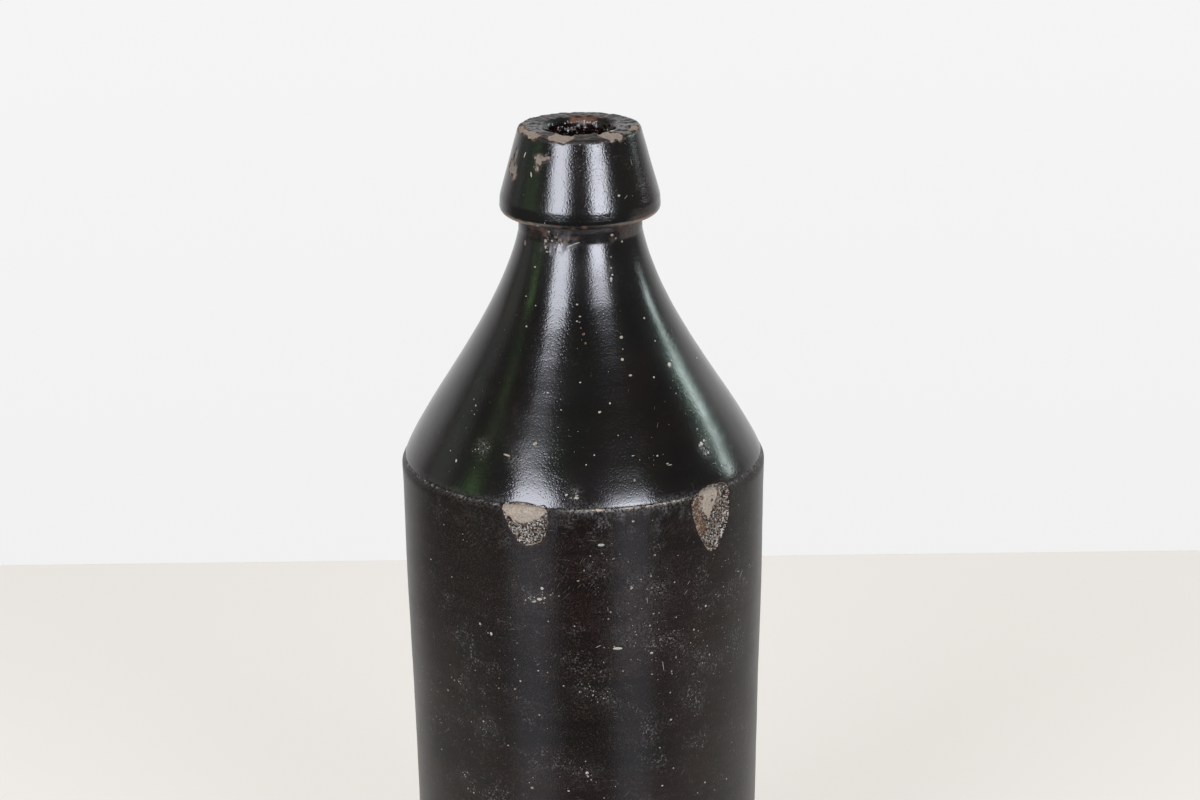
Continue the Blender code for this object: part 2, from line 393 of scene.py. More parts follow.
def buildTurningTree():
    measures = dict.fromkeys(("Ring depth", "Ring pitch", "Lump depth", "Lump size", "Seed"), "Float")
    sockets = {"Outline": "Geometry", "Spokes": "Int", **measures, "Glaze": "Material"}
    tree, given = newTree("turnedClay", sockets)
    outline = given["Outline"]
    rows = addNode(tree, "GeometryNodeAttributeDomainSize", {"Geometry": outline})["Point Count"]
    gridSize = {"Size X": 1.0, "Size Y": 1.0, "Vertices X": given["Spokes"] + 1.0, "Vertices Y": rows}
    grid = addNode(tree, "GeometryNodeMeshGrid", gridSize)
    index = addNode(tree, "GeometryNodeInputIndex")
    column = calculate("FLOOR", (index + 0.5) / rows)
    row = index - column * rows
    position = addNode(tree, "GeometryNodeInputPosition")
    turned = turnedBy(sampled(outline, position, row, "FLOAT_VECTOR"), column / given["Spokes"] * math.tau)
    wall = addNode(tree, "GeometryNodeSetPosition", {"Geometry": grid, "Position": turned})
    loose = sampled(outline, namedValue(tree, "loose"), row)
    inputs = {"Geometry": wall, "Name": "loose", "Value": loose}
    wall = addNode(tree, "GeometryNodeStoreNamedAttribute", inputs, data_type="FLOAT", domain="POINT")
    wall = addNode(tree, "GeometryNodeMergeByDistance", {"Geometry": wall, "Distance": 0.002 * mm})
    seed = given["Seed"]
    shift = addNode(tree, "ShaderNodeCombineXYZ", {"X": seed, "Y": seed, "Z": 0.0})
    there = addNode(tree, "ShaderNodeVectorMath", {0: position, 1: shift}, operation="ADD")
    lumps = cloud(there, 1.0 / given["Lump size"], 1.0)
    ringWay = addNode(tree, "ShaderNodeCombineXYZ", {"X": 7.0, "Y": 7.0, "Z": 1.0 / given["Ring pitch"]})
    rings = cloud(stretched(there, ringWay), 1.0, 1.0)
    rise = (lumps - 0.5) * given["Lump depth"] + (rings - 0.5) * given["Ring depth"]
    wavy = pushedOut(wall, rise * namedValue(tree, "loose"))
    return finishTree(addNode(tree, "GeometryNodeSetShadeSmooth", {"Geometry": wavy}), given["Glaze"])


def addPiece(name, points, attributes, tree, values):  # points with attributes, made solid by a node tree
    mesh = bpy.data.meshes.new(name)
    mesh.from_pydata(points, [], [])
    for label, (kind, numbers) in attributes.items():
        channel = "vector" if kind == "FLOAT_VECTOR" else "value"
        mesh.attributes.new(label, kind, "POINT").data.foreach_set(channel, numbers)
    piece = bpy.data.objects.new(name, mesh)
    scene.collection.objects.link(piece)
    modifier = piece.modifiers.new(tree.name, "NODES")
    modifier.node_group = tree
    for item in tree.interface.items_tree:  # a modifier's inputs go by their sockets' identifiers
        if item.item_type == "SOCKET" and item.in_out == "INPUT" and item.name in values:
            modifier[item.identifier] = values[item.name]
    graph = bpy.context.evaluated_depsgraph_get()
    made = piece.evaluated_get(graph)
    solid = bpy.data.meshes.new_from_object(made, preserve_all_data_layers=True, depsgraph=graph)
    piece.modifiers.clear()
    piece.data = solid
    bpy.data.meshes.remove(mesh)
    return piece


turningTree = buildTurningTree()


def turnPiece(name, outline, looseAt, shape, material):
    points = [(point[0], 0, point[1]) for point in outline]
    loose = [looseAt(point) for point in outline]
    piece = addPiece(name, points, {"loose": ("FLOAT", loose)}, turningTree, {
        "Spokes": shape["spokes"], "Ring depth": shape["ringDepth"] * mm, "Ring pitch": shape["ringPitch"] * mm,
        "Lump depth": shape["lumpDepth"] * mm, "Lump size": shape["lumpSize"] * mm, "Seed": shape["seed"],
        "Glaze": material})
    volume = bmesh.new()
    volume.from_mesh(piece.data)
    if volume.calc_volume(signed=True) < 0:
        bmesh.ops.reverse_faces(volume, faces=volume.faces)
        volume.to_mesh(piece.data)
    volume.free()
    return piece


# Marks on a wall: arrays of azimuth in degrees and height in mm, polygons in the same measures
markNames = ("bare", "crust", "thin", "dust", "matte")


def readPoints(piece):
    points = np.empty(len(piece.data.vertices) * 3)
    piece.data.vertices.foreach_get("co", points)
    return points.reshape(-1, 3)


def writePoints(piece, points):
    piece.data.vertices.foreach_set("co", points.ravel())
    piece.data.update()


def newMarks(piece):
    count = len(piece.data.vertices)
    return {name: np.full(count, -2.0 if name in ("bare", "crust") else 0.0) for name in markNames}


def raiseMark(marks, name, values, chosen=slice(None)):
    marks[name][chosen] = np.maximum(marks[name][chosen], values)


def keepMarks(piece, marks):
    for name, values in marks.items():
        mark = piece.data.attributes.new(name, "FLOAT", "POINT")
        mark.data.foreach_set("value", values.astype(np.float32))
    piece.data.attributes.remove(piece.data.attributes["loose"])


def azimuthOf(points):
    return np.degrees(np.arctan2(points[:, 0], -points[:, 1]))


def radiusOf(points):
    return np.hypot(points[:, 0], points[:, 1])


def scaleAcross(points, scale):  # towards the axis or away from it
    points[:, :2] *= scale[:, None]


def softCorners(polygon, perDegree, rounds=2):  # in mm, with its corners cut a few times
    places = [np.array((azimuth * perDegree, height), dtype=float) for azimuth, height in polygon]
    for _ in range(rounds):
        cut = []
        for place, following in zip(places, places[1:] + places[:1]):
            cut.append(place * 0.75 + following * 0.25)
            cut.append(place * 0.25 + following * 0.75)
        places = cut
    return places


def insideBy(across, up, polygon):  # how far inside the polygon each place is, negative outside
    nearest = np.full(across.shape, 1e9)
    inside = np.zeros(across.shape, dtype=bool)
    for start, end in zip(polygon, polygon[1:] + polygon[:1]):
        step = end - start
        share = ((across - start[0]) * step[0] + (up - start[1]) * step[1]) / max(step @ step, 1e-12)
        share = np.clip(share, 0, 1)
        away = np.hypot(across - start[0] - share * step[0], up - start[1] - share * step[1])
        nearest = np.minimum(nearest, away)
        crosses = (start[1] > up) != (end[1] > up)
        with np.errstate(divide="ignore", invalid="ignore"):
            at = start[0] + (up - start[1]) * step[0] / (step[1] if step[1] else 1e-12)
        inside ^= crosses & (across < at)
    return np.where(inside, nearest, -nearest)


def roughness(points, size, seed):  # noise of about -1 to 1, with features of the given size in mm
    shift = Vector((seed, seed * 1.7, seed * 2.3))
    return np.array([noise.noise(Vector(point) / (size * mm) + shift) for point in points])


def layers(points, *several):  # a sum of noises, each as (strength, size in mm, seed)
    return sum(strength * roughness(points, size, seed) for strength, size, seed in several)


def drawnOut(points, share):  # a small share makes noise run up and down the wall
    return points * np.array([1, 1, share])


def smoothShare(values, low, high):  # 0 at low and 1 at high, whichever of them is greater
    share = np.clip((values - low) / (high - low), 0, 1)
    return share * share * (3 - 2 * share)


def plateau(values, start, full, fade, end):
    return smoothShare(values, start, full) * smoothShare(values, end, fade)


def refine(piece, isNear, cuts=3):  # divides the faces more finely where isNear says so
    work = bmesh.new()
    work.from_mesh(piece.data)
    near = {vertex.index for vertex in work.verts if isNear(vertex.co)}
    edges = [edge for edge in work.edges if edge.verts[0].index in near and edge.verts[1].index in near]
    bmesh.ops.subdivide_edges(work, edges=edges, cuts=cuts, use_grid_fill=True)
    work.to_mesh(piece.data)
    work.free()


# Glaze: one builder, one dictionary of named values for each piece
def glazeMaterial(finish):
    material, tree, inputs, place = startMaterial(finish["name"])
    bare, crust, thin, dust, matte = (addNode(tree, "ShaderNodeAttribute", attribute_name=name)["Fac"]
                                      for name in markNames)

    # Colour of sound glaze: black with warm and olive drifts and rings from the wheel
    drift = cloud(place, finish["driftScale"], 3.0)
    colour = blend(band(drift, 0.42, 0.68), finish["black"], finish["warm"])
    olive = cloud(stretched(place, (1.0, 1.0, 0.35)), finish["driftScale"] * 1.7, 2.0)
    colour = blend(band(olive, 0.52, 0.72), colour, finish["olive"])
    ringAcross = finish["ringAcross"]
    rings = cloud(stretched(place, (ringAcross, ringAcross, finish["ringScale"])), 1.0, 3.0, 0.6)
    mottle = band(cloud(place, finish["mottleScale"], 3.0, 0.75), 0.50, 0.68, 0.0, finish["mottle"])
    mottle = mottle * band(rings, 0.38, 0.62, finish["mottleLow"], 1.0)
    colour = blend(mottle, colour, finish["mottleColour"])

    # Fine scratches that lean a few ways round the wall, only in some patches
    axes = addNode(tree, "ShaderNodeSeparateXYZ", {0: place})
    arc = calculate("ARCTAN2", axes["X"], axes["Y"] * -1.0) * finish["scratchRadius"]
    flat = addNode(tree, "ShaderNodeCombineXYZ", {"X": arc, "Y": axes["Z"], "Z": 0.0})
    scratchFrom = finish["scratchFrom"]
    scratches = None
    for tilt, patchScale in finish["scratchWays"]:
        leaning = turnedBy(flat, math.radians(tilt))
        streak = cloud(stretched(leaning, finish["scratchStretch"]), 1.0, 1.0, 0.4, 0.15)
        patch = cloud(leaning, patchScale, 2.0)
        found = band(streak, scratchFrom, scratchFrom + 0.05) * band(patch, 0.53, 0.68)
        scratches = calculate("MAXIMUM", scratches, found) if scratches else found

    # Haze of rubbed glaze, brighter where the dust mark is strong
    hazeGrain = cloud(place, finish["hazeGrain"], 3.0, 0.75)
    hazePatch = cloud(place, finish["hazeScale"], 3.0, 0.6)
    haze = band(hazePatch, 0.54, 0.68, 0.0, finish["haze"]) * band(hazeGrain, 0.55, 0.66)
    haze = calculate("MINIMUM", haze + dust * band(hazeGrain, 0.44, 0.60), 1.0)

    # Pinholes: pale dots of a few sizes, crowded in drifts
    dots = None
    crowd = band(cloud(place, finish["crowdScale"], 2.0), 0.42, 0.62, finish["crowdLow"], 1.0)
    for scale, share, radius in finish["dots"]:
        cell = cells(place, scale)
        chosen = band(lotOf(cell, "Red"), 1.0 - share, 1.0, 0.0, radius) * crowd
        dot = band(chosen - cell["Distance"], 0.0, 0.03)
        dots = calculate("MAXIMUM", dots, dot) if dots else dot
    for share, name in ((haze, "hazeColour"), (scratches, "scratchColour"), (dots, "dotColour")):
        colour = blend(share, colour, finish[name])

    # Thin glaze breaks from brown to orange along edges
    edgeGrain = cloud(place, 420.0, 4.0, 0.65) - 0.5
    thinGrain = thin + edgeGrain * 1.6
    thinShare = band(thinGrain, 0.25, 0.8)
    colour = blend(thinShare, colour, blend(band(thinGrain, 0.6, 1.3), finish["brown"], finish["amber"]))

    # Crust in the scars, the crumbs on the neck and the bore: grains of white, buff and black. In the bore the
    # white grains are partly painted glints.
    grain = cells(place, finish["grainScale"])
    grainRamp = addNode(tree, "ShaderNodeValToRGB", {"Fac": lotOf(grain, "Green")})
    colourRamp = grainRamp.node.color_ramp
    colourRamp.interpolation = "CONSTANT"
    while len(colourRamp.elements) < len(grainStops):
        colourRamp.elements.new(0.5)
    for element, (at, stopColour) in zip(colourRamp.elements, grainStops):
        element.position = at
        element.color = stopColour
    crustShare = band(crust + edgeGrain * 0.9, -0.05, 0.12)
    scorched = band(crust, -0.75, -0.2) * band(crust, -0.1, 0.35, 1.0, 0.0)
    colour = blend(scorched * 0.85, colour, finish["scorch"])
    rust = band(thinGrain, 1.2, 2.6)  # a thin mark above 1 is a stain on grains and clay
    colour = blend(crustShare, colour, blend(rust * 0.65, grainRamp, finish["rust"]))

    # Bare clay in chips
    bareShare = band(bare + edgeGrain * finish["chipFray"], 0.0, 0.10)
    clayGrain = cloud(place, 1500.0, 4.0, 0.7)
    clay = blend(band(clayGrain, 0.35, 0.7), finish["clayDark"], finish["clay"])
    clay = blend(band(cloud(place, 260.0, 2.0), 0.55, 0.75), clay, finish["clayStain"])
    clay = blend(rust * 0.7, clay, finish["rust"])
    feed(tree, inputs["Base Color"], blend(bareShare, colour, clay))

    # Roughness
    rough = band(cloud(place, finish["glossScale"], 3.0), 0.3, 0.7, finish["roughLow"], finish["roughHigh"])
    rough = rough + band(rings, 0.3, 0.7) * finish["ringRough"]
    worn = calculate("MAXIMUM", calculate("MAXIMUM", haze, scratches), dots)
    for share, name in ((worn, "worn"), (thinShare, "thin"), (matte, "matte"), (crustShare, "crust"),
                        (bareShare, "bare")):
        rough = blend(share, rough, wearRough[name], "FLOAT")
    feed(tree, inputs["Roughness"], rough)
    inputs["IOR"].default_value = finish["ior"]
    inputs["Specular IOR Level"].default_value = finish["specular"]
    if finish["grooves"]:  # the wheel's fine grooves spread a highlight up and down
        inputs["Anisotropic"].default_value = finish["grooves"]
        inputs["Anisotropic Rotation"].default_value = 0.25
        feed(tree, inputs["Tangent"], addNode(tree, "ShaderNodeTangent", direction_type="RADIAL", axis="Z"))

    # Relief in mm: rings, orange peel, pits, wear, grains and clay
    height = rings * finish["ringRelief"]
    for scale, relief in finish["peel"]:
        height = height + cloud(place, scale, 1.0) * relief
    pit = cells(place, finish["pitScale"])["Distance"]
    height = height - band(pit, 0.05, 0.5, finish["pitDepth"], 0.0, True)
    height = height - worn * finish["wornDepth"]
    height = height + band(grain["Distance"], 0.0, 0.6, finish["grainHeight"], 0.0) * crustShare
    height = height + clayGrain * bareShare * finish["clayHeight"]
    addBump(tree, inputs, height, mm)
    return material


wearRough = {"worn": 0.62, "thin": 0.34, "matte": 0.62, "crust": 0.38, "bare": 0.86}

# Each grain of a scar takes one colour, chosen by lot
grainStops = ((0.0, (0.018, 0.014, 0.012, 1)), (0.25, (0.07, 0.045, 0.032, 1)), (0.45, (0.20, 0.145, 0.10, 1)),
              (0.66, (0.32, 0.28, 0.24, 1)), (0.88, (0.56, 0.55, 0.52, 1)))

sharedGlaze = {
    "warm": (0.009, 0.005, 0.0035, 1), "olive": (0.004, 0.0055, 0.002, 1), "black": (0.0025, 0.0022, 0.002, 1),
    "brown": (0.022, 0.008, 0.004, 1), "amber": (0.26, 0.11, 0.045, 1), "scorch": (0.020, 0.006, 0.006, 1),
    "clay": (0.60, 0.52, 0.43, 1), "clayDark": (0.40, 0.33, 0.26, 1), "clayStain": (0.50, 0.38, 0.27, 1),
    "hazeColour": (0.21, 0.20, 0.19, 1), "scratchColour": (0.20, 0.19, 0.17, 1),
    "dotColour": (0.44, 0.42, 0.38, 1),
    "wornDepth": 0.012, "grainHeight": 0.16, "clayHeight": 0.05,
    "grainScale": 2700.0, "chipFray": 1.3, "grooves": 0.0, "pitScale": 1500.0, "pitDepth": 0.016,
    "rust": (0.23, 0.105, 0.045, 1), "scratchStretch": (260.0, 4200.0, 1.0), "hazeGrain": 1700.0,
    "mottleScale": 1500.0, "mottle": 0.5, "mottleColour": (0.012, 0.0075, 0.006, 1), "mottleLow": 0.5,
    "crowdScale": 55.0, "crowdLow": 0.55, "ringAcross": 14.0,
}

shoulderGlaze = dict(
    sharedGlaze, name="shoulderGlaze", driftScale=38.0, ringScale=300.0, scratchRadius=0.035,
    scratchWays=((15.0, 40.0), (-55.0, 30.0)), scratchFrom=0.77, haze=0.16, hazeScale=90.0,
    dots=((430.0, 0.07, 0.09), (900.0, 0.07, 0.13)),
    glossScale=60.0, roughLow=0.13, roughHigh=0.19, ringRough=0.02, ior=1.8, specular=1.0,
    peel=((380.0, 0.014), (1100.0, 0.011), (2600.0, 0.010)), pitDepth=0.013, ringRelief=0.020)

lipGlaze = dict(
    shoulderGlaze, name="lipGlaze", haze=0.25, warm=(0.016, 0.0055, 0.0045, 1),
    clay=(0.34, 0.275, 0.22, 1), clayDark=(0.17, 0.135, 0.105, 1), clayStain=(0.26, 0.18, 0.12, 1),
    peel=((300.0, 0.006), (1900.0, 0.020), (3300.0, 0.028)), pitDepth=0.014, ringRelief=0.004)

bodyGlaze = dict(
    sharedGlaze, name="bodyGlaze", black=(0.0045, 0.0032, 0.0028, 1), warm=(0.012, 0.0062, 0.0046, 1),
    olive=(0.0065, 0.0056, 0.0034, 1), driftScale=26.0, ringScale=260.0, scratchRadius=0.046,
    scratchWays=((3.0, 45.0), (-48.0, 34.0), (-62.0, 38.0)), scratchFrom=0.70, haze=0.9, hazeScale=95.0,
    dots=((230.0, 0.14, 0.075), (520.0, 0.20, 0.12), (1000.0, 0.20, 0.19)),
    glossScale=45.0, roughLow=0.32, roughHigh=0.37, ringRough=0.03, ior=1.5, specular=0.50,
    mottleScale=2000.0, mottle=1.0, mottleColour=(0.058, 0.035, 0.028, 1), mottleLow=0.15, crowdLow=0.42,
    scratchColour=(0.17, 0.165, 0.155, 1), hazeColour=(0.24, 0.235, 0.225, 1),
    peel=((300.0, 0.022), (1200.0, 0.016), (2800.0, 0.014)), ringRelief=0.058, grooves=0.95, ringAcross=30.0)


# Kiln scars: outline, bare patches and stains as (azimuth in degrees, mm above the seam)
scarLeft = {
    "outline": ((-26.2, -0.3), (-24, 0.5), (-19, 0.9), (-14, 0.7), (-11, -0.3), (-10.9, -2.8),
                (-11.5, -6.3), (-13.4, -9.3), (-17.6, -10.3), (-21, -9.2), (-23, -6.5), (-24.7, -3.0)),
    "bare": ((-26.4, 0.5), (-23.5, 1.1), (-13.6, 0.9), (-10.2, 0.1), (-12.4, -1.7), (-15, -3.4),
             (-18.1, -4.7), (-21.5, -4.3), (-24.4, -3.1)),
    "spots": (),
    "holes": (),
    "rust": ((-25.5, -1.0), (-24.0, -1.5), (-21.5, -8.5), (-22.5, -8.0)),
    "undercut": ((-24.6, 0.4), (-21, 1.0), (-17, 0.95), (-14.4, 0.35), (-17, 0.55), (-21, 0.6)),
    "depth": 1.1,
}
scarRight = {
    "outline": ((38.6, 0.6), (42.1, 1.3), (46, 1.3), (50.0, 0.9), (51.8, -0.3), (51.4, -2.8),
                (51.5, -5.7), (51.1, -8.9), (49.5, -11.7), (47.0, -14.6), (44.6, -16.5), (41.8, -16.0),
                (39.6, -12.9), (37.4, -9.6), (35.8, -6.0), (34.6, -2.0), (36.0, -0.5)),
    "bare": ((39.2, 0.1), (43.9, 0.5), (47.4, 0.3), (47.7, -1.3), (46.3, -4.0), (45.0, -5.8),
             (43.6, -8.2), (42.0, -6.6), (40.6, -3.9), (39.3, -1.8)),
    "spots": ((38.9, -8.9, 0.8), (39.6, -10.6, 0.5)),  # azimuth, height, radius
    "holes": ((40.2, -1.3, 0.45), (44.9, -2.9, 0.42), (45.3, -1.9, 0.25)),
    "rust": ((35.4, -0.8), (41.5, 0.4), (41.8, -3.6), (43.8, -8.6), (42.6, -12.5), (39.4, -12.6),
             (36.4, -7.0)),
    "undercut": ((36.2, -1.0), (35.2, -4.2), (37.0, -8.2), (36.0, -4.4)),
    "depth": 1.3,
}
scars = {
    "steepness": (-0.05, 0.7),  # mm inside a scar's edge where it starts and has its full depth
    "fray": 0.28,
    "hollow": 0.25,  # mm deeper in the middle
    "grainSize": 0.42,
    "grainDepth": 0.20,
    "bareFray": ((0.45, 1.1, 17.0), (0.25, 0.5, 18.0)),
    "ends": (-32, 57),  # azimuths that hold both scars
    "heights": (-20, 4),  # mm above the seam that hold them
    "axisAway": 43.5,  # mm from the axis: clear of the inner wall
    "undercut": 0.9,
    "stain": 2.3,
    "radius": 47.5,  # wall radius that turns degrees into mm
}


def scarPlaces(points, scar):
    perDegree = math.radians(scars["radius"])
    across = azimuthOf(points) * perDegree
    up = (points[:, 2] - seamZ) / mm
    outline, bare, undercut, rust = (insideBy(across, up, softCorners(scar[name], perDegree))
                                     for name in ("outline", "bare", "undercut", "rust"))
    for azimuth, height, radius in scar["spots"]:
        bare = np.maximum(bare, radius - np.hypot(across - azimuth * perDegree, up - height))
    for azimuth, height, radius in scar["holes"]:
        bare = np.minimum(bare, np.hypot(across - azimuth * perDegree, up - height) - radius)
    return outline, bare, undercut, rust


def nearScar(co):
    if abs(co.z - (seamZ - 7 * mm)) > 11 * mm or co.x * co.x + co.y * co.y < (44.5 * mm) ** 2:
        return False
    azimuth = math.degrees(math.atan2(co.x, -co.y))
    return -29 < azimuth < -8 or 32 < azimuth < 54


def carveScars(piece, marks):
    points = readPoints(piece)
    azimuth = azimuthOf(points)
    rise = (points[:, 2] - seamZ) / mm
    outside = radiusOf(points) > scars["axisAway"] * mm
    for values, (low, high) in ((rise, scars["heights"]), (azimuth, scars["ends"])):
        outside &= (values > low) & (values < high)
    chosen = np.nonzero(outside)[0]
    for scar in (scarLeft, scarRight):
        local = points[chosen]
        outline, bare, undercut, rust = scarPlaces(local, scar)
        bare += layers(local, *scars["bareFray"])
        ragged = outline + scars["fray"] * roughness(local, 1.3, 3.0)
        sunk = scar["depth"] * smoothShare(ragged, *scars["steepness"])
        sunk += scars["hollow"] * smoothShare(ragged, 0.5, 3.5)
        grains = scars["grainDepth"] * roughness(local, scars["grainSize"], 7.0)
        grains *= smoothShare(ragged, 0.2, 0.9)
        sunk -= grains * (1 - 0.85 * smoothShare(bare, -0.3, 0.3))
        sunk -= 0.12 * smoothShare(bare, -0.1, 0.2)
        sunk += scars["undercut"] * smoothShare(undercut, -0.15, 0.1)
        scaleAcross(local, 1 - np.clip(sunk, -0.1, 2.2) * mm / radiusOf(local))
        points[chosen] = local
        raiseMark(marks, "crust", np.clip(ragged, -2, 2), chosen)
        patch = np.minimum(bare * 1.2, ragged * 1.6 + 0.2) - 2.2 * smoothShare(undercut, -0.2, 0.05)
        raiseMark(marks, "bare", patch, chosen)
        raiseMark(marks, "matte", smoothShare(undercut, -0.3, 0.0), chosen)
        streaks = 1.5 * (roughness(drawnOut(local, 0.35), 0.9, 12.0) + 0.6 * roughness(local, 0.5, 13.0))
        stain = smoothShare(rust + streaks - 0.7, -0.4, 0.7) * smoothShare(ragged, -0.1, 0.1)
        raiseMark(marks, "thin", scars["stain"] * stain, chosen)
    writePoints(piece, points)


# Wear along the seam. A reach says how many mm from the line's middle a mark ends and is full.
seamLook = {
    "seed": 11.0,
    "drop": 0.25,  # mm that the worn line lies below the seam
    "limits": (11, 44),  # mm above and below the seam, and mm from the axis
    "front": (-12, 2, 30, 42),  # azimuths where the strong part starts, is full, fades and ends
    "beside": 0.12,  # strength outside them
    "lineReach": (0.55, 0.20),
    "hazeReach": (2.4, 0.6),
    "scuffReach": (10.5, 1.5),
}


def seamWear(piece, marks):  # glaze rubbed through along the seam, strong in front and dotted beside
    points = readPoints(piece)
    up, axisAway = seamLook["limits"]
    near = (np.abs(points[:, 2] - (seamZ - 0.3 * mm)) < up * mm) & (radiusOf(points) > axisAway * mm)
    near = np.nonzero(near)[0]
    local = points[near]
    seed = seamLook["seed"]
    away = np.abs(local[:, 2] - (seamZ - seamLook["drop"] * mm)) / mm
    strength = seamLook["beside"] + (1 - seamLook["beside"]) * plateau(azimuthOf(local), *seamLook["front"])
    broken = 0.34 * roughness(drawnOut(local, 0.4), 1.5, seed) + 0.5 * roughness(local, 0.5, seed + 4)
    raiseMark(marks, "bare", (0.02 - away) + (strength - 0.9) * 0.4 + broken * 0.85, near)
    dotted = smoothShare(roughness(local, 1.1, seed + 9) + 1.3 * strength, -0.05, 0.4)
    line = smoothShare(away, *seamLook["lineReach"]) * (0.75 + 0.9 * strength) * (0.25 + 0.75 * dotted)
    line *= np.clip(1 + 1.7 * broken, 0.1, 1.8)
    haze = smoothShare(away, *seamLook["hazeReach"]) * 0.14 * (1 + strength)
    streaks = roughness(drawnOut(local, 0.3), 1.4, seed + 15) + 0.6 * roughness(local, 2.6, seed + 16)
    scuffs = smoothShare(away, *seamLook["scuffReach"]) * 0.34 * (0.25 + strength)
    scuffs *= smoothShare(streaks, 0.0, 0.6) * (local[:, 2] < seamZ - 0.3 * mm)
    raiseMark(marks, "dust", np.maximum.reduce([line, haze, scuffs]), near)


# Grit and scratches stand a hair out of a wall; a few white ones on the lip are painted glints. Each is
# (azimuth, height in mm, length, width in mm, tone, lean in degrees). A tone is 0 for brown, 0.5 for buff and 1
# for white. What is left out at the end is usual.
usualGrit = (0.5, 0.4, 0.8, 0)  # length, width, tone, lean
gritShape = {
    "stand": 0.06,  # mm out of the wall
    "scale": 1.05,  # share of the listed sizes
    "least": 0.13,  # mm of length and width
    "brown": (0.075, 0.036, 0.020, 1),
    "buff": (0.33, 0.27, 0.21, 1),
    "white": (0.56, 0.54, 0.50, 1),
    "coarseness": 0.35,  # how uneven a lump is, as a share of its size
    "seed": 17,
}
bodyGrit = (
    (5.1, 150.6, 1.9, 0.75, 0.85), (15, 156.4, 0.7, 0.5, 0.7), (-57, 139.1), (-46, 136.9),
    (41, 129.1, 0.8, 0.7, 0.9, 20), (41, 137.7, 0.9, 0.8, 0.12), (10, 122, 2.9, 0.75, 0.95, -3),
    (4, 122.9, 1.6, 0.2, 0.6, 25), (21, 119.6, 0.8, 0.5), (25, 115.4, 0.18, 2.6, 0.6, 8),
    (-15, 115.7, 0.5, 0.4, 0.9), (-12, 115.4, 0.4, 0.4, 0.7), (-7, 111.9, 0.6), (-21, 112.2, 0.5, 0.5),
    (-26, 93.3, 0.6), (0, 87.3, 1.1, 0.9, 1), (-14.1, 135.6, 1.5, 0.9, 0.95),
    (-15.8, 134.8, 1.2, 0.4, 0.8, 10), (-13.2, 138.6, 0.7, 0.7, 0.95), (36.2, 123.5, 0.5, 0.5, 0.9),
    (-30.7, 124.1, 0.7, 0.9, 0.9, 15), (-34.8, 126.2, 0.6, 0.8, 0.85, 20),
    (46.9, 130.5, 1.3, 0.25, 0.4, 18), (14.5, 138.3, 0.9, 0.5, 0.7, 40), (-15, 103.2, 0.5, 0.4, 0.7),
    (28, 99.7, 0.6), (38, 122.8, 0.5, 0.4, 0.7), (24, 92.4), (25, 81.4, 0.6), (42, 78.7, 0.5, 0.5),
    (-18, 82.2, 0.9, 0.7, 0.5), (-6, 82.1, 0.6), (53, 76.6), (59, 133.5, 2.2, 0.16, 0.6, 55),
    (61, 131.5, 1.6, 0.14, 0.6, 58), (34, 137, 1.5, 0.14, 0.55, 50), (33, 134.6, 1.9, 0.13, 0.5, 48),
    (7, 133, 0.13, 1.8, 0.5, 6), (19.5, 134.4, 0.16, 1.5, 0.6, 4), (22, 146.5, 0.8, 0.5, 0.6),
    (-2, 141, 0.6, 0.3, 0.6), (30, 145.2, 0.6, 0.3, 0.6),
)
bodyClusters = (  # azimuth, height, spread in mm, how many
    (-14, 136, 3.2, 26), (0, 110.2, 3, 20), (6, 108.7, 2.4, 14), (-44, 108.5, 2.6, 14), (-34, 97.4, 3, 16),
    (0, 87.3, 3.2, 18), (-44, 81.3, 2.6, 12), (-41, 78.2, 2.2, 10), (6, 146, 4.5, 14), (22, 138, 5.5, 24),
    (14, 128, 6.5, 26), (40, 112, 6, 14), (20, 70, 7, 16), (-8, 60, 7, 16), (-25, 42, 8, 14),
    (30, 36, 8, 14), (110, 120, 7, 16), (160, 84, 8, 18), (-140, 110, 8, 18), (-95, 60, 8, 14),
    (5, 125, 26, 40), (42, 118, 20, 60), (-32, 112, 22, 36), (62, 132, 14, 50), (0, 60, 34, 40),
    (-60, 100, 24, 40), (120, 90, 40, 70), (-150, 90, 40, 70),
)
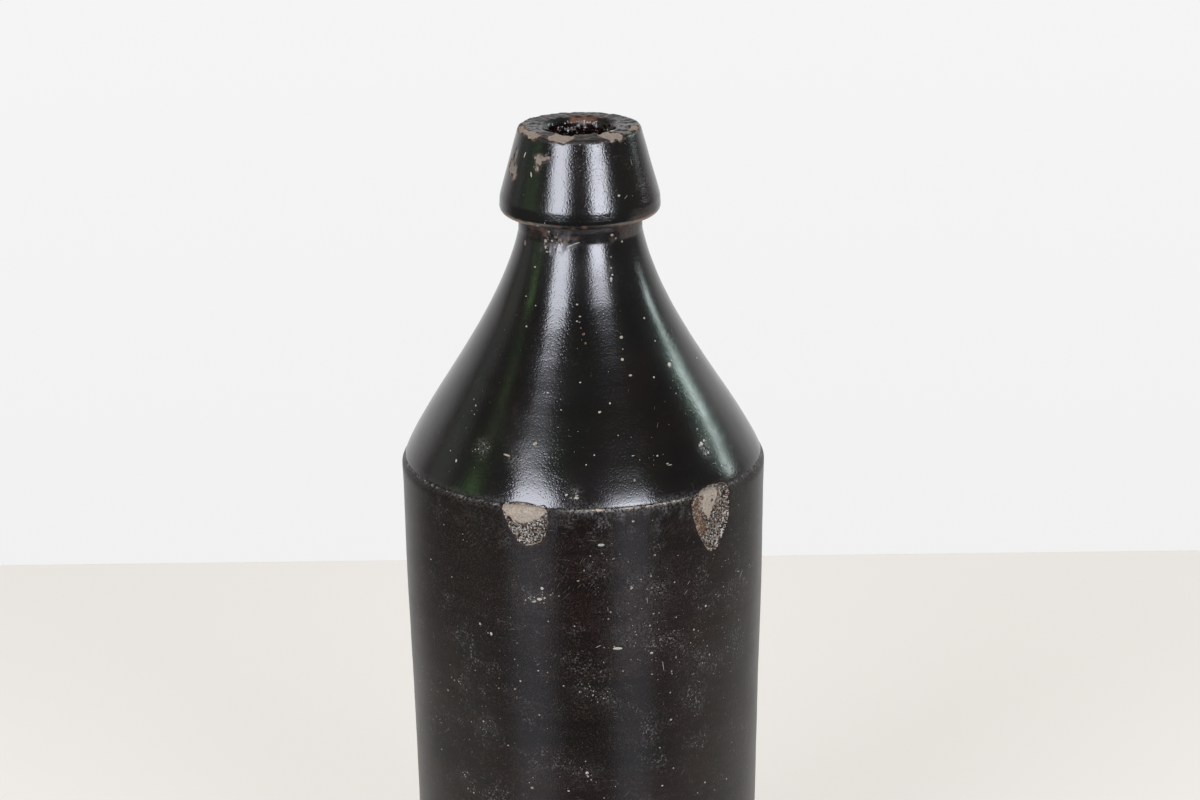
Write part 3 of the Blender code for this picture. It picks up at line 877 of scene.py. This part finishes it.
shoulderGrit = (
    (25.6, 214.3, 0.6, 0.5, 0.7), (24.3, 211.7, 0.7, 0.8, 0.95), (23.9, 197.8, 0.9, 0.7, 0.6, 10),
    (21.8, 192.8, 1, 0.9, 0.75), (24.3, 189, 1.1, 0.6, 0.6), (36.6, 187.6, 0.7, 0.6, 0.85),
    (49.2, 189.3, 1.5, 1.2, 0.9, 20), (-1.4, 202, 0.6, 0.5, 0.1), (1.1, 199.2, 0.7, 0.5, 0.15, 30),
    (2.1, 197.1, 0.6, 0.6, 0.1), (-0.5, 200.6, 0.5, 0.4, 0.2), (7.2, 181.6, 0.9, 0.5, 0.8, 30), (12, 183.3),
    (-28, 171.1, 2, 0.5, 0.6, -8), (-18.3, 174.3, 0.9, 0.8, 0.7), (-48.3, 167.2, 0.7, 1, 0.9, 10),
    (-2.3, 162.7, 1.6, 0.5, 0.85, 4), (-5.5, 163.4, 0.8, 0.4, 0.8, 20), (47.2, 170.7, 0.9, 0.9, 0.95),
    (48.6, 168.3, 0.8, 0.6, 0.9, 30), (30.8, 168.1, 1.3, 0.25, 0.6), (27, 217, 0.6, 0.5, 0.5),
    (26, 212.6, 0.5, 0.4, 0.9), (24, 211.2, 0.5, 0.4, 0.9), (41, 220.2, 0.6, 0.5, 0.9), (-41, 214.1),
    (-43, 206.8, 0.5, 0.5), (-33, 205.1), (-3, 206.1), (-1, 203.3, 0.6, 0.3, 0.6), (-3, 202.2),
    (44, 201, 0.5, 0.5, 0.9), (-36, 200), (46, 195.3, 0.4, 0.3), (-16, 185.8, 0.6, 0.4, 0.9), (-1, 188.3),
    (12, 183.4), (7, 181.7, 0.6, 0.3, 0.7), (76, 187.2, 0.6), (-22, 170.5, 0.9, 0.5, 0.4, 40),
    (-18, 174.4, 0.9, 0.6, 0.5, 20), (-53, 168.8), (1, 170.1, 0.4), (4, 172.2, 0.4),
    (18, 171.4, 1, 0.3, 0.6), (27, 170.6), (30, 168.5, 0.6, 0.3, 0.7), (46, 170.4, 0.5, 0.6),
    (49, 171.1, 0.7, 0.5, 0.9, 30), (47, 168.2, 0.6), (-30, 223.5, 0.8, 0.6), (-34, 220.9, 0.8, 0.9, 0.7),
    (-33, 219.4, 0.7, 1, 0.9, 20), (-31, 218.3, 0.9, 0.6, 0.6), (-23, 222.4, 1.1, 0.8, 0.2),
    (-19, 221.6, 1.2, 0.8, 0.25, 30), (-14, 220.9, 1, 0.7, 0.3), (-11, 220.1, 2.4, 0.4, 0.9, 22),
    (-4, 220.9, 2.6, 0.35, 0.9, 16), (-24, 219.6, 0.7, 0.5, 0.7), (-27, 221.2, 0.6, 0.5),
    (30, 222.4, 1, 0.7, 0.7), (-60, 219, 0.8, 1.4, 0.35, 20), (34, 221.4, 0.6, 0.5, 0.5),
)
shoulderClusters = (
    (-39, 171.1, 2.4, 14), (-3, 163.2, 2, 12), (-20, 220.8, 3, 18), (-32, 220, 2.4, 12), (24, 170, 7, 8),
    (48, 185, 8, 14), (50, 172, 5, 16), (-10, 185, 9, 8), (20, 200, 8, 6), (-50, 180, 8, 8),
    (100, 190, 9, 14), (150, 175, 9, 16), (-120, 185, 9, 16), (-170, 205, 7, 10),
)
# Painted glints: the white fleck at azimuth 52 on the rim and the white slivers at -54 and -42.2 on the
# collar's side stand in for light glinting off the rim and a chip's edges.
lipGritAndGlints = (
    (19, 235, 0.8, 0.6, 0.5), (52, 247.9, 1.2, 0.6, 1), (30, 233.6, 0.7, 0.5),
    (74, 224.9, 1.6, 0.8, 0.8, 10), (-5, 247, 0.4, 0.3, 0.3), (0.5, 246.7, 0.6, 0.3, 0.6, 20),
    (4, 247.2, 0.35, 0.3, 0.2), (7, 246.4, 0.7, 0.35, 0.55, -10), (14, 247, 0.4, 0.3, 0.3),
    (17, 246.3, 0.3, 0.3, 0.6), (21, 246.8, 0.6, 0.35, 0.5, 15), (25, 247.1, 0.4, 0.3, 0.25),
    (36, 233, 1.6, 0.14, 0.5, 40), (48, 241, 0.14, 2, 0.5, 4), (-54, 242.8, 0.35, 1.5, 0.95, -14),
    (-42.2, 238.5, 0.45, 1.7, 0.95, 22), (-40.5, 240.4, 0.5, 0.7, 0.3),
)
lipClusters = (
    (-30, 226, 4, 6), (10, 246.6, 4, 14), (170, 236, 7, 8), (-110, 232, 7, 8),
)


def buildGritTree():
    sockets = {"Places": "Geometry", "Coarseness": "Float", "Seed": "Int", "Grain": "Material"}
    tree, given = newTree("stuckGrit", sockets)
    lump = addNode(tree, "GeometryNodeMeshIcoSphere", {"Radius": 1.0, "Subdivisions": 2})
    inputs = {"Min": 0.75, "Max": 1.15, "Seed": given["Seed"]}
    wobble = addNode(tree, "FunctionNodeRandomValue", inputs, data_type="FLOAT")["Value"]
    inputs = {0: namedValue(tree, "size", "FLOAT_VECTOR"), "Scale": wobble}
    grown = addNode(tree, "ShaderNodeVectorMath", inputs, operation="SCALE")
    spun = addNode(tree, "FunctionNodeEulerToRotation", {0: namedValue(tree, "turn", "FLOAT_VECTOR")})
    stuck = addNode(tree, "GeometryNodeInstanceOnPoints", {
        "Points": given["Places"], "Instance": lump, "Rotation": spun, "Scale": grown})
    real = addNode(tree, "GeometryNodeRealizeInstances", {"Geometry": stuck})
    bump = cloud(addNode(tree, "GeometryNodeInputPosition"), 2600.0, 1.0) - 0.5
    return finishTree(pushedOut(real, bump * given["Coarseness"] * (0.3 * mm)), given["Grain"])


def gritMaterial():
    material, tree, inputs, place = startMaterial("stuckGrit")
    fleck = cloud(place, 2400.0, 3.0, 0.6)
    tone = addNode(tree, "ShaderNodeAttribute", attribute_name="tone")["Fac"]
    shade = tone + band(fleck, 0.3, 0.7, -0.25, 0.2)
    warm = blend(band(shade, 0.0, 0.5), gritShape["brown"], gritShape["buff"])
    feed(tree, inputs["Base Color"], blend(band(shade, 0.5, 1.0), warm, gritShape["white"]))
    feed(tree, inputs["Roughness"], band(fleck, 0.3, 0.7, 0.45, 0.75))
    addBump(tree, inputs, fleck, 0.03 * mm)
    return material


gritTree = buildGritTree()
gritFinish = gritMaterial()


def scatter(clusters, chance):
    specks = []
    for azimuth, height, spread, count in clusters:
        for _ in range(count):
            away = chance.gauss(0, spread * 0.5)
            up = chance.gauss(0, spread * 0.4)
            length = gritShape["least"] + 0.38 * chance.random() ** 2.2
            width = length * chance.uniform(0.5, 1.0)
            lean = chance.uniform(-90, 90)
            specks.append((azimuth + away * 1.25, height + up, length, width, chance.uniform(0.4, 0.9), lean))
    return specks


def stickGrit(name, wall, listed, clusters):
    chance = random.Random(gritShape["seed"])
    surface = BVHTree.FromObject(wall, bpy.context.evaluated_depsgraph_get())
    half = gritShape["scale"] * mm / 2
    places, turns, sizes, tones = [], [], [], []
    for entry in list(listed) + scatter(clusters, chance):
        azimuth, height, length, width, tone, lean = entry + usualGrit[len(entry) - 2:]
        angle = math.radians(azimuth)
        outward = Vector((math.sin(angle), -math.cos(angle), 0))
        hit, normal, _, _ = surface.ray_cast(outward * 0.08 + Vector((0, 0, height * mm)), -outward)
        if hit is None:
            continue
        across = Vector((math.cos(angle), math.sin(angle), 0))
        upwards = normal.cross(across).normalized()
        across = upwards.cross(normal).normalized()
        leaning = math.radians(lean)
        first = across * math.cos(leaning) + upwards * math.sin(leaning)
        places.append(hit)
        turns.extend(Matrix((first, normal.cross(first), normal)).transposed().to_euler())
        sizes.extend((length * half, max(width, gritShape["least"]) * half, gritShape["stand"] * mm))
        tones.append(tone)
    attributes = {"turn": ("FLOAT_VECTOR", turns), "size": ("FLOAT_VECTOR", sizes), "tone": ("FLOAT", tones)}
    values = {"Coarseness": gritShape["coarseness"], "Seed": gritShape["seed"], "Grain": gritFinish}
    grit = addPiece(name, places, attributes, gritTree, values)
    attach(grit, "root")
    print(name, "stuck on:", len(places), "grains,", len(grit.data.polygons), "faces")


def addDust(piece, marks, clusters, strength):
    points = readPoints(piece)
    for azimuth, height, spread, _ in clusters:
        if spread > 10:  # loose grit brings no dust
            continue
        beside = np.radians(azimuthOf(points) - azimuth) * radiusOf(points)
        away = np.hypot(beside, points[:, 2] - height * mm) / mm
        near = np.nonzero(away < spread * 2.2)[0]
        broken = np.clip(0.6 + 0.9 * roughness(points[near], 3.5, 61.0), 0, 1.5)
        raiseMark(marks, "dust", strength * smoothShare(away[near], spread * 2.2, spread * 0.3) * broken, near)


# Body
bodyShape = {
    "spokes": 420, "ringDepth": 0.10, "ringPitch": 5.5, "lumpDepth": 0.22, "lumpSize": 26.0, "seed": 3.1,
    "floor": 8.0, "floorRound": 9.0, "wall": 5.5, "footRound": 2.5, "rimRound": 0.5,
    "seamRadius": 47.0, "edgeRadius": 47.93, "edgeDrop": 1.55, "edgeRound": 3.2,
    # the wall's own radii, from the shoulder's edge down, as (mm below the seam, radius)
    "wallRadii": ((9, 47.74), (23, 47.58), (37, 47.36), (51, 46.95), (65, 46.56), (79, 46.28), (93, 46.03),
                  (118, 45.6), (140, 45.05), (153, 44.8)),
    "wallRound": 9, "footRadius": 44.7,
    "dust": 0.16,  # strength of the dust round the stuck grit
    "dullEdge": 0.6,  # share of dull glaze on the rounded edge under the seam
}


def bodyOutline():
    shape = bodyShape
    top = seamZ / mm
    inner = shape["seamRadius"] - shape["wall"]
    innerFoot = shape["footRadius"] - shape["wall"]
    wallPoints = [(radius, top - drop, shape["wallRound"]) for drop, radius in shape["wallRadii"]]
    corners = [(0, shape["floor"]), (innerFoot, shape["floor"], shape["floorRound"]), (inner, top),
               (shape["seamRadius"], top, shape["rimRound"]),
               (shape["edgeRadius"], top - shape["edgeDrop"], shape["edgeRound"]),
               *wallPoints, (shape["footRadius"], 0, shape["footRound"]), (0, 0)]

    def gapAt(place):
        if place.x < (inner + 0.3) * mm:
            return 9
        if place.y > seamZ - 20 * mm:
            return 0.7
        return 1.15 if place.y > 4 * mm else 3

    return spacedOutline(roundedOutline(corners), gapAt)


def bodyLoose(place):
    return ramp(seamZ - place[1], 0.5, 6) * ramp(place[1], 0.5, 8)


body = turnPiece("body_wall", bodyOutline(), bodyLoose, bodyShape, glazeMaterial(bodyGlaze))
refine(body, nearScar)
bodyMarks = newMarks(body)
seamWear(body, bodyMarks)
addDust(body, bodyMarks, bodyClusters, bodyShape["dust"])
bodyPoints = readPoints(body)
dullEdge = smoothShare(bodyPoints[:, 2], seamZ - 4.0 * mm, seamZ - 1 * mm) * (radiusOf(bodyPoints) > 44 * mm)
raiseMark(bodyMarks, "matte", dullEdge * bodyShape["dullEdge"])
carveScars(body, bodyMarks)
keepMarks(body, bodyMarks)
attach(body, "root")
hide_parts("body")
stickGrit("body_grit", body, bodyGrit, bodyClusters)
print("body turned, scarred and glazed:", len(body.data.polygons), "faces")


# Shoulder and neck
shoulderShape = {
    "spokes": 420, "ringDepth": 0.10, "ringPitch": 6.0, "lumpDepth": 0.22, "lumpSize": 14.0, "seed": 8.4,
    "height": 60.6, "bore": 9.1, "neckWall": 6.8, "neckShowing": 4.7, "flareDrop": 2.5, "endDrop": 0.3,
    "socket": 10.0, "beadProud": 0.01, "beadHeight": 1.4, "beadDrop": -0.7, "rimRound": 0.5,
    "neckShares": (0.145, 0.377), "seamShares": (0.252, 0.254), "curveSteps": 96,
    "fullness": 0.70, "neckFullness": 0.20,  # how far the real wall stands proud of the plain sweep
    "lean": 0.28,  # mm that the cone's middle stands to the left
    # places of frosted glaze: azimuth, height, spread in mm, and no grit of their own
    "frost": ((-23, 170.8, 2.2, 0), (-39, 171.5, 1.8, 0), (-2.5, 163.2, 1.4, 0), (48, 169.5, 1.6, 0)),
}


def shoulderOutline():
    shape = shoulderShape
    seam = seamZ / mm
    neck = shape["bore"] + shape["neckWall"]
    neckFoot = seam + shape["height"]
    beadTop = neckFoot + shape["neckShowing"] - shape["beadDrop"]
    neckEnd = neckFoot + shape["neckShowing"] + shape["socket"] - shape["endDrop"]
    inner = bodyShape["seamRadius"] - bodyShape["wall"]
    outside = sweepCurve((neck, neckFoot), (bodyShape["seamRadius"], seam), shape, shape["curveSteps"])
    fullNeck = neck + shape["neckFullness"]

    def fuller(radius, height):
        rise = (height - seam) / shape["height"]
        swell = shape["fullness"] * math.sin(math.pi * rise ** 0.58)
        return radius + swell + shape["neckFullness"] * rise, height

    outside = [fuller(*place) for place in outside]
    inside = sweepCurve((shape["bore"], neckFoot - shape["flareDrop"]), (inner, seam), shape, 16)
    outside[-1] = (*outside[-1], shape["rimRound"])
    bead = [(neck, beadTop),
            (fullNeck + shape["beadProud"], beadTop - shape["beadHeight"] / 2, shape["beadHeight"]),
            (fullNeck, beadTop - shape["beadHeight"])]
    corners = bead + outside + inside[::-1] + [(shape["bore"], neckEnd), (neck, neckEnd), (neck, beadTop)]

    def gapAt(place):
        if place.y > (neckFoot + 6) * mm:
            return 2
        return 0.4 if place.y > neckFoot * mm else 0.75

    return spacedOutline(roundedOutline(corners), gapAt)


def shoulderLoose(place):
    return ramp(place[1] - seamZ, 0.5, 6) * ramp(collarZ - place[1], 0.5, 4)


def leanCone(piece, points):
    rise = np.clip((points[:, 2] - seamZ) / (shoulderShape["height"] * mm), 0, 1)
    outside = radiusOf(points) > (shoulderShape["bore"] + 3) * mm
    points[:, 0] -= shoulderShape["lean"] * mm * np.sin(math.pi * rise) * outside
    writePoints(piece, points)


neckLook = {
    "patchAround": (-52, -38, -10, 2),  # azimuths where the crumbs start, are thick, thin out and end
    "patchUp": (-8.4, -6.6, -2.4, -1.4),  # the same in mm above the collar's lower edge
    "thin": (-6.5, -3.5),  # mm above that edge where thin glaze starts and is full
    "dull": ((0.05, -24, -12), (0.14, -7.5, -4)),  # strength and the same limits
    "bead": -1.2,  # mm above that edge
    "crumbs": 0.22,  # mm that crumbs stand out
}


def wearNeck(points, marks):  # thin brown glaze below the collar, with a patch of crumbs at the front left
    rise = (points[:, 2] - collarZ) / mm
    neckNoise = roughness(points, 2.2, 41.0)
    patch = plateau(azimuthOf(points), *neckLook["patchAround"]) * plateau(rise, *neckLook["patchUp"])
    crumbs = layers(points, (0.8, 0.7, 43.0), (0.6, 2.0, 44.0)) - 0.55 - 1.6 * (1 - patch)
    bead = smoothShare(np.abs(rise - neckLook["bead"]), 1.3, 0.6)
    broken = smoothShare(neckNoise + 0.9 * roughness(points, 0.9, 45.0), -0.45, 0.35)
    raiseMark(marks, "crust", np.where(patch > 0.02, crumbs, -2.0))
    raiseMark(marks, "thin", smoothShare(rise, *neckLook["thin"]) * (0.34 + 0.5 * neckNoise) + 0.18 * patch)
    raiseMark(marks, "thin", bead * (0.62 + 0.4 * neckNoise))
    raiseMark(marks, "matte", np.maximum(0.5 * patch * broken, 0.3 * bead))
    for strength, low, high in neckLook["dull"]:
        raiseMark(marks, "matte", strength * smoothShare(rise, low, high))
    crumbRise = neckLook["crumbs"] * mm * patch * np.clip(crumbs + 0.5, 0, 1)
    scaleAcross(points, 1 + crumbRise / np.maximum(radiusOf(points), 1e-6))


shoulderFinish = glazeMaterial(shoulderGlaze)
shoulder = turnPiece("shoulder_wall", shoulderOutline(), shoulderLoose, shoulderShape, shoulderFinish)
refine(shoulder, nearScar)
shoulderMarks = newMarks(shoulder)
seamWear(shoulder, shoulderMarks)
carveScars(shoulder, shoulderMarks)
shoulderPoints = readPoints(shoulder)
wearNeck(shoulderPoints, shoulderMarks)
addDust(shoulder, shoulderMarks, shoulderShape["frost"], 0.55)
leanCone(shoulder, shoulderPoints)
keepMarks(shoulder, shoulderMarks)
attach(shoulder, "root")
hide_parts("shoulder_and_neck")
stickGrit("shoulder_grit", shoulder, shoulderGrit, shoulderClusters)
print("shoulder and neck turned and glazed:", len(shoulder.data.polygons), "faces")


# Lip collar
lipShape = {
    "spokes": 440, "ringDepth": 0.06, "ringPitch": 4.0, "lumpDepth": 0.16, "lumpSize": 9.0, "seed": 5.2,
    "overhang": 5.16, "topWall": 6.7, "baseRound": 2.1, "topRound": 1.1, "mouthRound": 1.7,
    "kneeHeight": 4.6, "kneeOverhang": 4.84, "kneeRound": 6.0,  # where the side turns steeper
    "topDrop": 0.17,  # leaves room for the bumps of an uneven top
    "topBumps": 0.16, "boreCrust": 0.45,  # mm
    "radius": 15.8,  # rim radius that turns degrees into mm
    "luteGap": 0.3, "socket": 10.0,
    "frontSlope": 0.05, "frontPull": 0.9,  # the rim's front slopes outwards, and its glaze hangs over the mouth
}
# Places on the rim are (azimuth in degrees, mm outwards from the rim's outer corner, then down the side).
# Negative reach is on the flat top, towards the mouth.
rimChips = (
    ((-104, -0.5), (-90, -1.2), (-76, -1.5), (-60, -2.4), (-50, -2.6), (-44, -1.8), (-43, 0.2),
     (-46, 0.9), (-52, 1.0), (-60, 0.5), (-74, 0.3), (-90, 0.25)),
    ((-37, -5.6), (-30, -6.4), (-8, -6.4), (-5, -3), (-8, -0.6), (-12, 0.7), (-17, 1.0), (-23, 0.5),
     (-30, 0.1), (-36, -1.2)),
    ((26, -5.6), (34, -6.2), (44, -5.6), (50, -3.6), (49, -1.2), (47, 0.4), (42, 1.2), (36, 0.5),
     (32, 1.0), (27, 0.3), (25, -2.5)),
    ((66, -1.6), (72, -2.8), (84, -2.6), (88, -0.8), (80, 0.3), (70, 0.4)),
)
sideChips = (
    ((-43.0, 4.9), (-38, 4.2), (-34, 4.7), (-28, 4.1), (-25.5, 4.7), (-31.5, 5.8), (-34, 6.5),
     (-36, 8.6), (-39.0, 8.5), (-37.6, 6.6), (-40.4, 6.1), (-39.6, 5.4)),
    ((-80, 9.4), (-76, 7.6), (-71, 7.9), (-68, 8.9), (-66, 7.6), (-61.5, 9.1), (-60.4, 11.8),
     (-65.3, 12.4), (-68, 10.9), (-72.5, 11)),
    ((-73, 7.2), (-70.4, 4.4), (-66.5, 5.2), (-68.8, 7.9)),
)
chipKinds = (  # chips, mm deep, fray of the edge
    (rimChips, 0.45, 0.28),
    (sideChips, 0.35, 0.62),
)


def lipOutline():
    shape = lipShape
    bore = shoulderShape["bore"]
    neck = bore + shoulderShape["neckWall"]
    base = collarZ / mm
    top = topZ / mm - shape["topDrop"]
    socketRadius = neck + shape["luteGap"]
    socketTop = base + shape["socket"]
    corners = [(socketRadius, socketTop), (bore, socketTop), (bore, top, shape["mouthRound"]),
               (bore + shape["topWall"], top, shape["topRound"]),
               (neck + shape["kneeOverhang"], base + shape["kneeHeight"], shape["kneeRound"]),
               (neck + shape["overhang"], base, shape["baseRound"]),
               (socketRadius, base), (socketRadius, socketTop)]

    def gapAt(place):
        if place.x < (bore + 0.3) * mm:
            return 0.5
        return 0.36 if place.x > (socketRadius + 0.3) * mm or place.y > topZ - 6 * mm else 2

    return spacedOutline(roundedOutline(corners), gapAt)


def lipLoose(place):
    return ramp(place[1] - collarZ, 0.6, 4) * ramp(topZ - place[1], 0.05, 3)


def rimReach(points):  # mm from the rim's corner: negative over the top, positive down the side
    overTop = radiusOf(points) / mm - (shoulderShape["bore"] + lipShape["topWall"] - 0.25)
    downSide = (topZ - points[:, 2]) / mm
    return np.where(downSide + overTop < 0.35, overTop + downSide * 0.5, downSide)


def chipLip(piece, marks):
    points = readPoints(piece)
    azimuth = azimuthOf(points)
    radius = radiusOf(points)
    visible = (radius > (shoulderShape["bore"] + 0.2) * mm) & (np.abs(azimuth) < 110)
    visible &= (radius > 17 * mm) | (points[:, 2] > topZ - 8 * mm)
    chosen = np.nonzero(visible)[0]
    reach = rimReach(points)[chosen]
    perDegree = math.radians(lipShape["radius"])
    for chips, depth, fray in chipKinds:
        for number, chip in enumerate(chips):
            local = points[chosen]
            inside = insideBy(azimuth[chosen] * perDegree, reach, softCorners(chip, perDegree))
            ragged = inside + layers(local, (0.40, 1.6, 2.0 + number), (fray, 0.6, 9.0))
            sunk = depth * smoothShare(ragged, -0.05, 0.35) * (1 + 0.35 * roughness(local, 0.9, 5.0))
            outward = drawnOut(local, 0)
            outward /= np.linalg.norm(outward, axis=1)[:, None]
            onTop = smoothShare(-reach, -0.6, 0.4)
            way = outward * (1 - onTop)[:, None] + np.array([0, 0, 1]) * onTop[:, None]
            way /= np.linalg.norm(way, axis=1)[:, None]
            points[chosen] = local - way * (sunk * mm)[:, None]
            raiseMark(marks, "bare", ragged, chosen)
            halo = smoothShare(inside + 0.5 * roughness(local, 1.0, 14.0), -1.3, -0.1)
            raiseMark(marks, "thin", lipLook["halo"] * halo, chosen)
    writePoints(piece, points)


# Strength of the marks on the lip, and how many mm from an edge each ends and is full
lipLook = {
    "rim": (0.5, 1.1, 0.2),
    "mouth": (0.45, 1.2, 0.3),
    "mouthMiddle": 1.5,  # mm from the bore to the middle of the mouth's mark
    "low": (1.3, 0.6),
    "lowMiddle": 0.6,  # mm above the lower edge
    "lowDull": (0.42, 2.0, 0.6),
    "topReach": (1.2, 0.4),
    "halo": 0.75,  # of thin glaze round a chip
    "behind": (174, 0.85),  # azimuth and strength of the amber glaze at the mouth's back
}


def wearRim(points, marks):  # thin glaze on rim and lower edge, dull on the flat top
    radius = radiusOf(points) / mm
    rise = (points[:, 2] - collarZ) / mm
    drop = (topZ - points[:, 2]) / mm
    azimuth = azimuthOf(points)
    facing = np.cos(np.radians(azimuth))
    farSide, nearSide = smoothShare(-facing, 0.1, 0.7), smoothShare(facing, 0.3, 0.9)
    rimStrength, *rimLimits = lipLook["rim"]
    rimEdge = rimStrength * smoothShare(np.abs(rimReach(points)), *rimLimits)
    mouthStrength, *mouthLimits = lipLook["mouth"]
    mouthAway = np.abs(radius - shoulderShape["bore"] - lipLook["mouthMiddle"])
    mouthEdge = mouthStrength * smoothShare(mouthAway, *mouthLimits) * smoothShare(drop, 1.5, 0.6)
    lowEdge = smoothShare(np.abs(rise - lipLook["lowMiddle"]), *lipLook["low"]) * (radius > 17)
    lowTone = 0.62 + 0.55 * roughness(points, 1.6, 53.0) + 0.7 * smoothShare(np.abs(azimuth), 28, 58)
    lowStrength, *lowLimits = lipLook["lowDull"]
    flatTop = smoothShare(drop, *lipLook["topReach"])
    dullTop = (0.30 + 0.25 * farSide + 0.3 * roughness(points, 1.8, 54.0)) * (1 - nearSide)
    raiseMark(marks, "matte", lowStrength * smoothShare(rise, *lowLimits))
    raiseMark(marks, "matte", flatTop * np.maximum(dullTop, 0.95 * nearSide))
    raiseMark(marks, "thin", flatTop * nearSide * (0.5 + 0.4 * roughness(points, 1.1, 52.0)))
    raiseMark(marks, "thin", flatTop * (0.22 + 0.1 * farSide + 0.45 * roughness(points, 1.3, 51.0)))
    raiseMark(marks, "thin", np.maximum.reduce([rimEdge, mouthEdge, lowEdge * lowTone]))


def crustMouth(points, marks):  # a crusty bore, bumps on the flat top and amber glaze at the mouth's back
    radius = radiusOf(points) / mm
    height = points[:, 2]
    inBore = radius < shoulderShape["bore"] + 1.3
    chosen = np.nonzero(inBore & (height > topZ - 14 * mm))[0]
    local = points[chosen]
    drop = (topZ - local[:, 2]) / mm
    # The bore's crust is real, but its pale grains are partly painted glints: white flecks for light glinting
    # off wet crystals.
    crystalsAndGlints = layers(local, (0.9, 0.8, 23.0), (0.5, 2.4, 24.0)) - 0.3
    raiseMark(marks, "crust", crystalsAndGlints - 2 * smoothShare(drop, 2.2, 1.2), chosen)
    bumps = lipShape["boreCrust"] * layers(local, (1, 1.5, 21.0), (0.8, 0.8, 22.0))
    scaleAcross(local, 1 + bumps * smoothShare(drop, 0.6, 2.0) / np.maximum(radius[chosen], 1e-3))
    points[chosen] = local
    onTop = np.nonzero((height > topZ - 0.9 * mm) & (radius > shoulderShape["bore"] + 1.2))[0]
    bumpy = points[onTop]
    bumps = np.clip(layers(bumpy, (1, 2.2, 31.0), (0.9, 1.0, 32.0)), -1, 1)
    points[onTop, 2] += lipShape["topBumps"] * mm * bumps
    backAzimuth, backStrength = lipLook["behind"]
    behind = backStrength * smoothShare(np.cos(np.radians(azimuthOf(points) - backAzimuth)), 0.80, 0.98)
    raiseMark(marks, "thin", behind * smoothShare(height, topZ - 3.5 * mm, topZ - 1.5 * mm) * inBore)


def slopeFront(piece):
    points = readPoints(piece)
    radius = radiusOf(points)
    drop = (topZ - points[:, 2]) / mm
    front = smoothShare(np.cos(np.radians(azimuthOf(points))), 0.25, 0.9)
    bore = shoulderShape["bore"]
    pull = lipShape["frontPull"] * mm * front * smoothShare(radius / mm, bore + 3, bore + 0.6)
    pull *= smoothShare(drop, 3, 0.7)
    scaleAcross(points, 1 - pull / np.maximum(radius, 1e-6))
    outwards = np.maximum(radius - (bore + 1.6) * mm, 0)
    points[:, 2] -= lipShape["frontSlope"] * front * smoothShare(drop, 10, 0.9) * outwards
    writePoints(piece, points)


lip = turnPiece("lip_ring", lipOutline(), lipLoose, lipShape, glazeMaterial(lipGlaze))
lipMarks = newMarks(lip)
lipPoints = readPoints(lip)
wearRim(lipPoints, lipMarks)
crustMouth(lipPoints, lipMarks)
writePoints(lip, lipPoints)
chipLip(lip, lipMarks)
slopeFront(lip)
keepMarks(lip, lipMarks)
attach(lip, "root")
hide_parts("lip_collar")
# The lip's grit includes white flecks that are painted glints.
stickGrit("lip_grit_and_glints", lip, lipGritAndGlints, lipClusters)
print("lip collar turned, chipped and glazed:", len(lip.data.polygons), "faces")
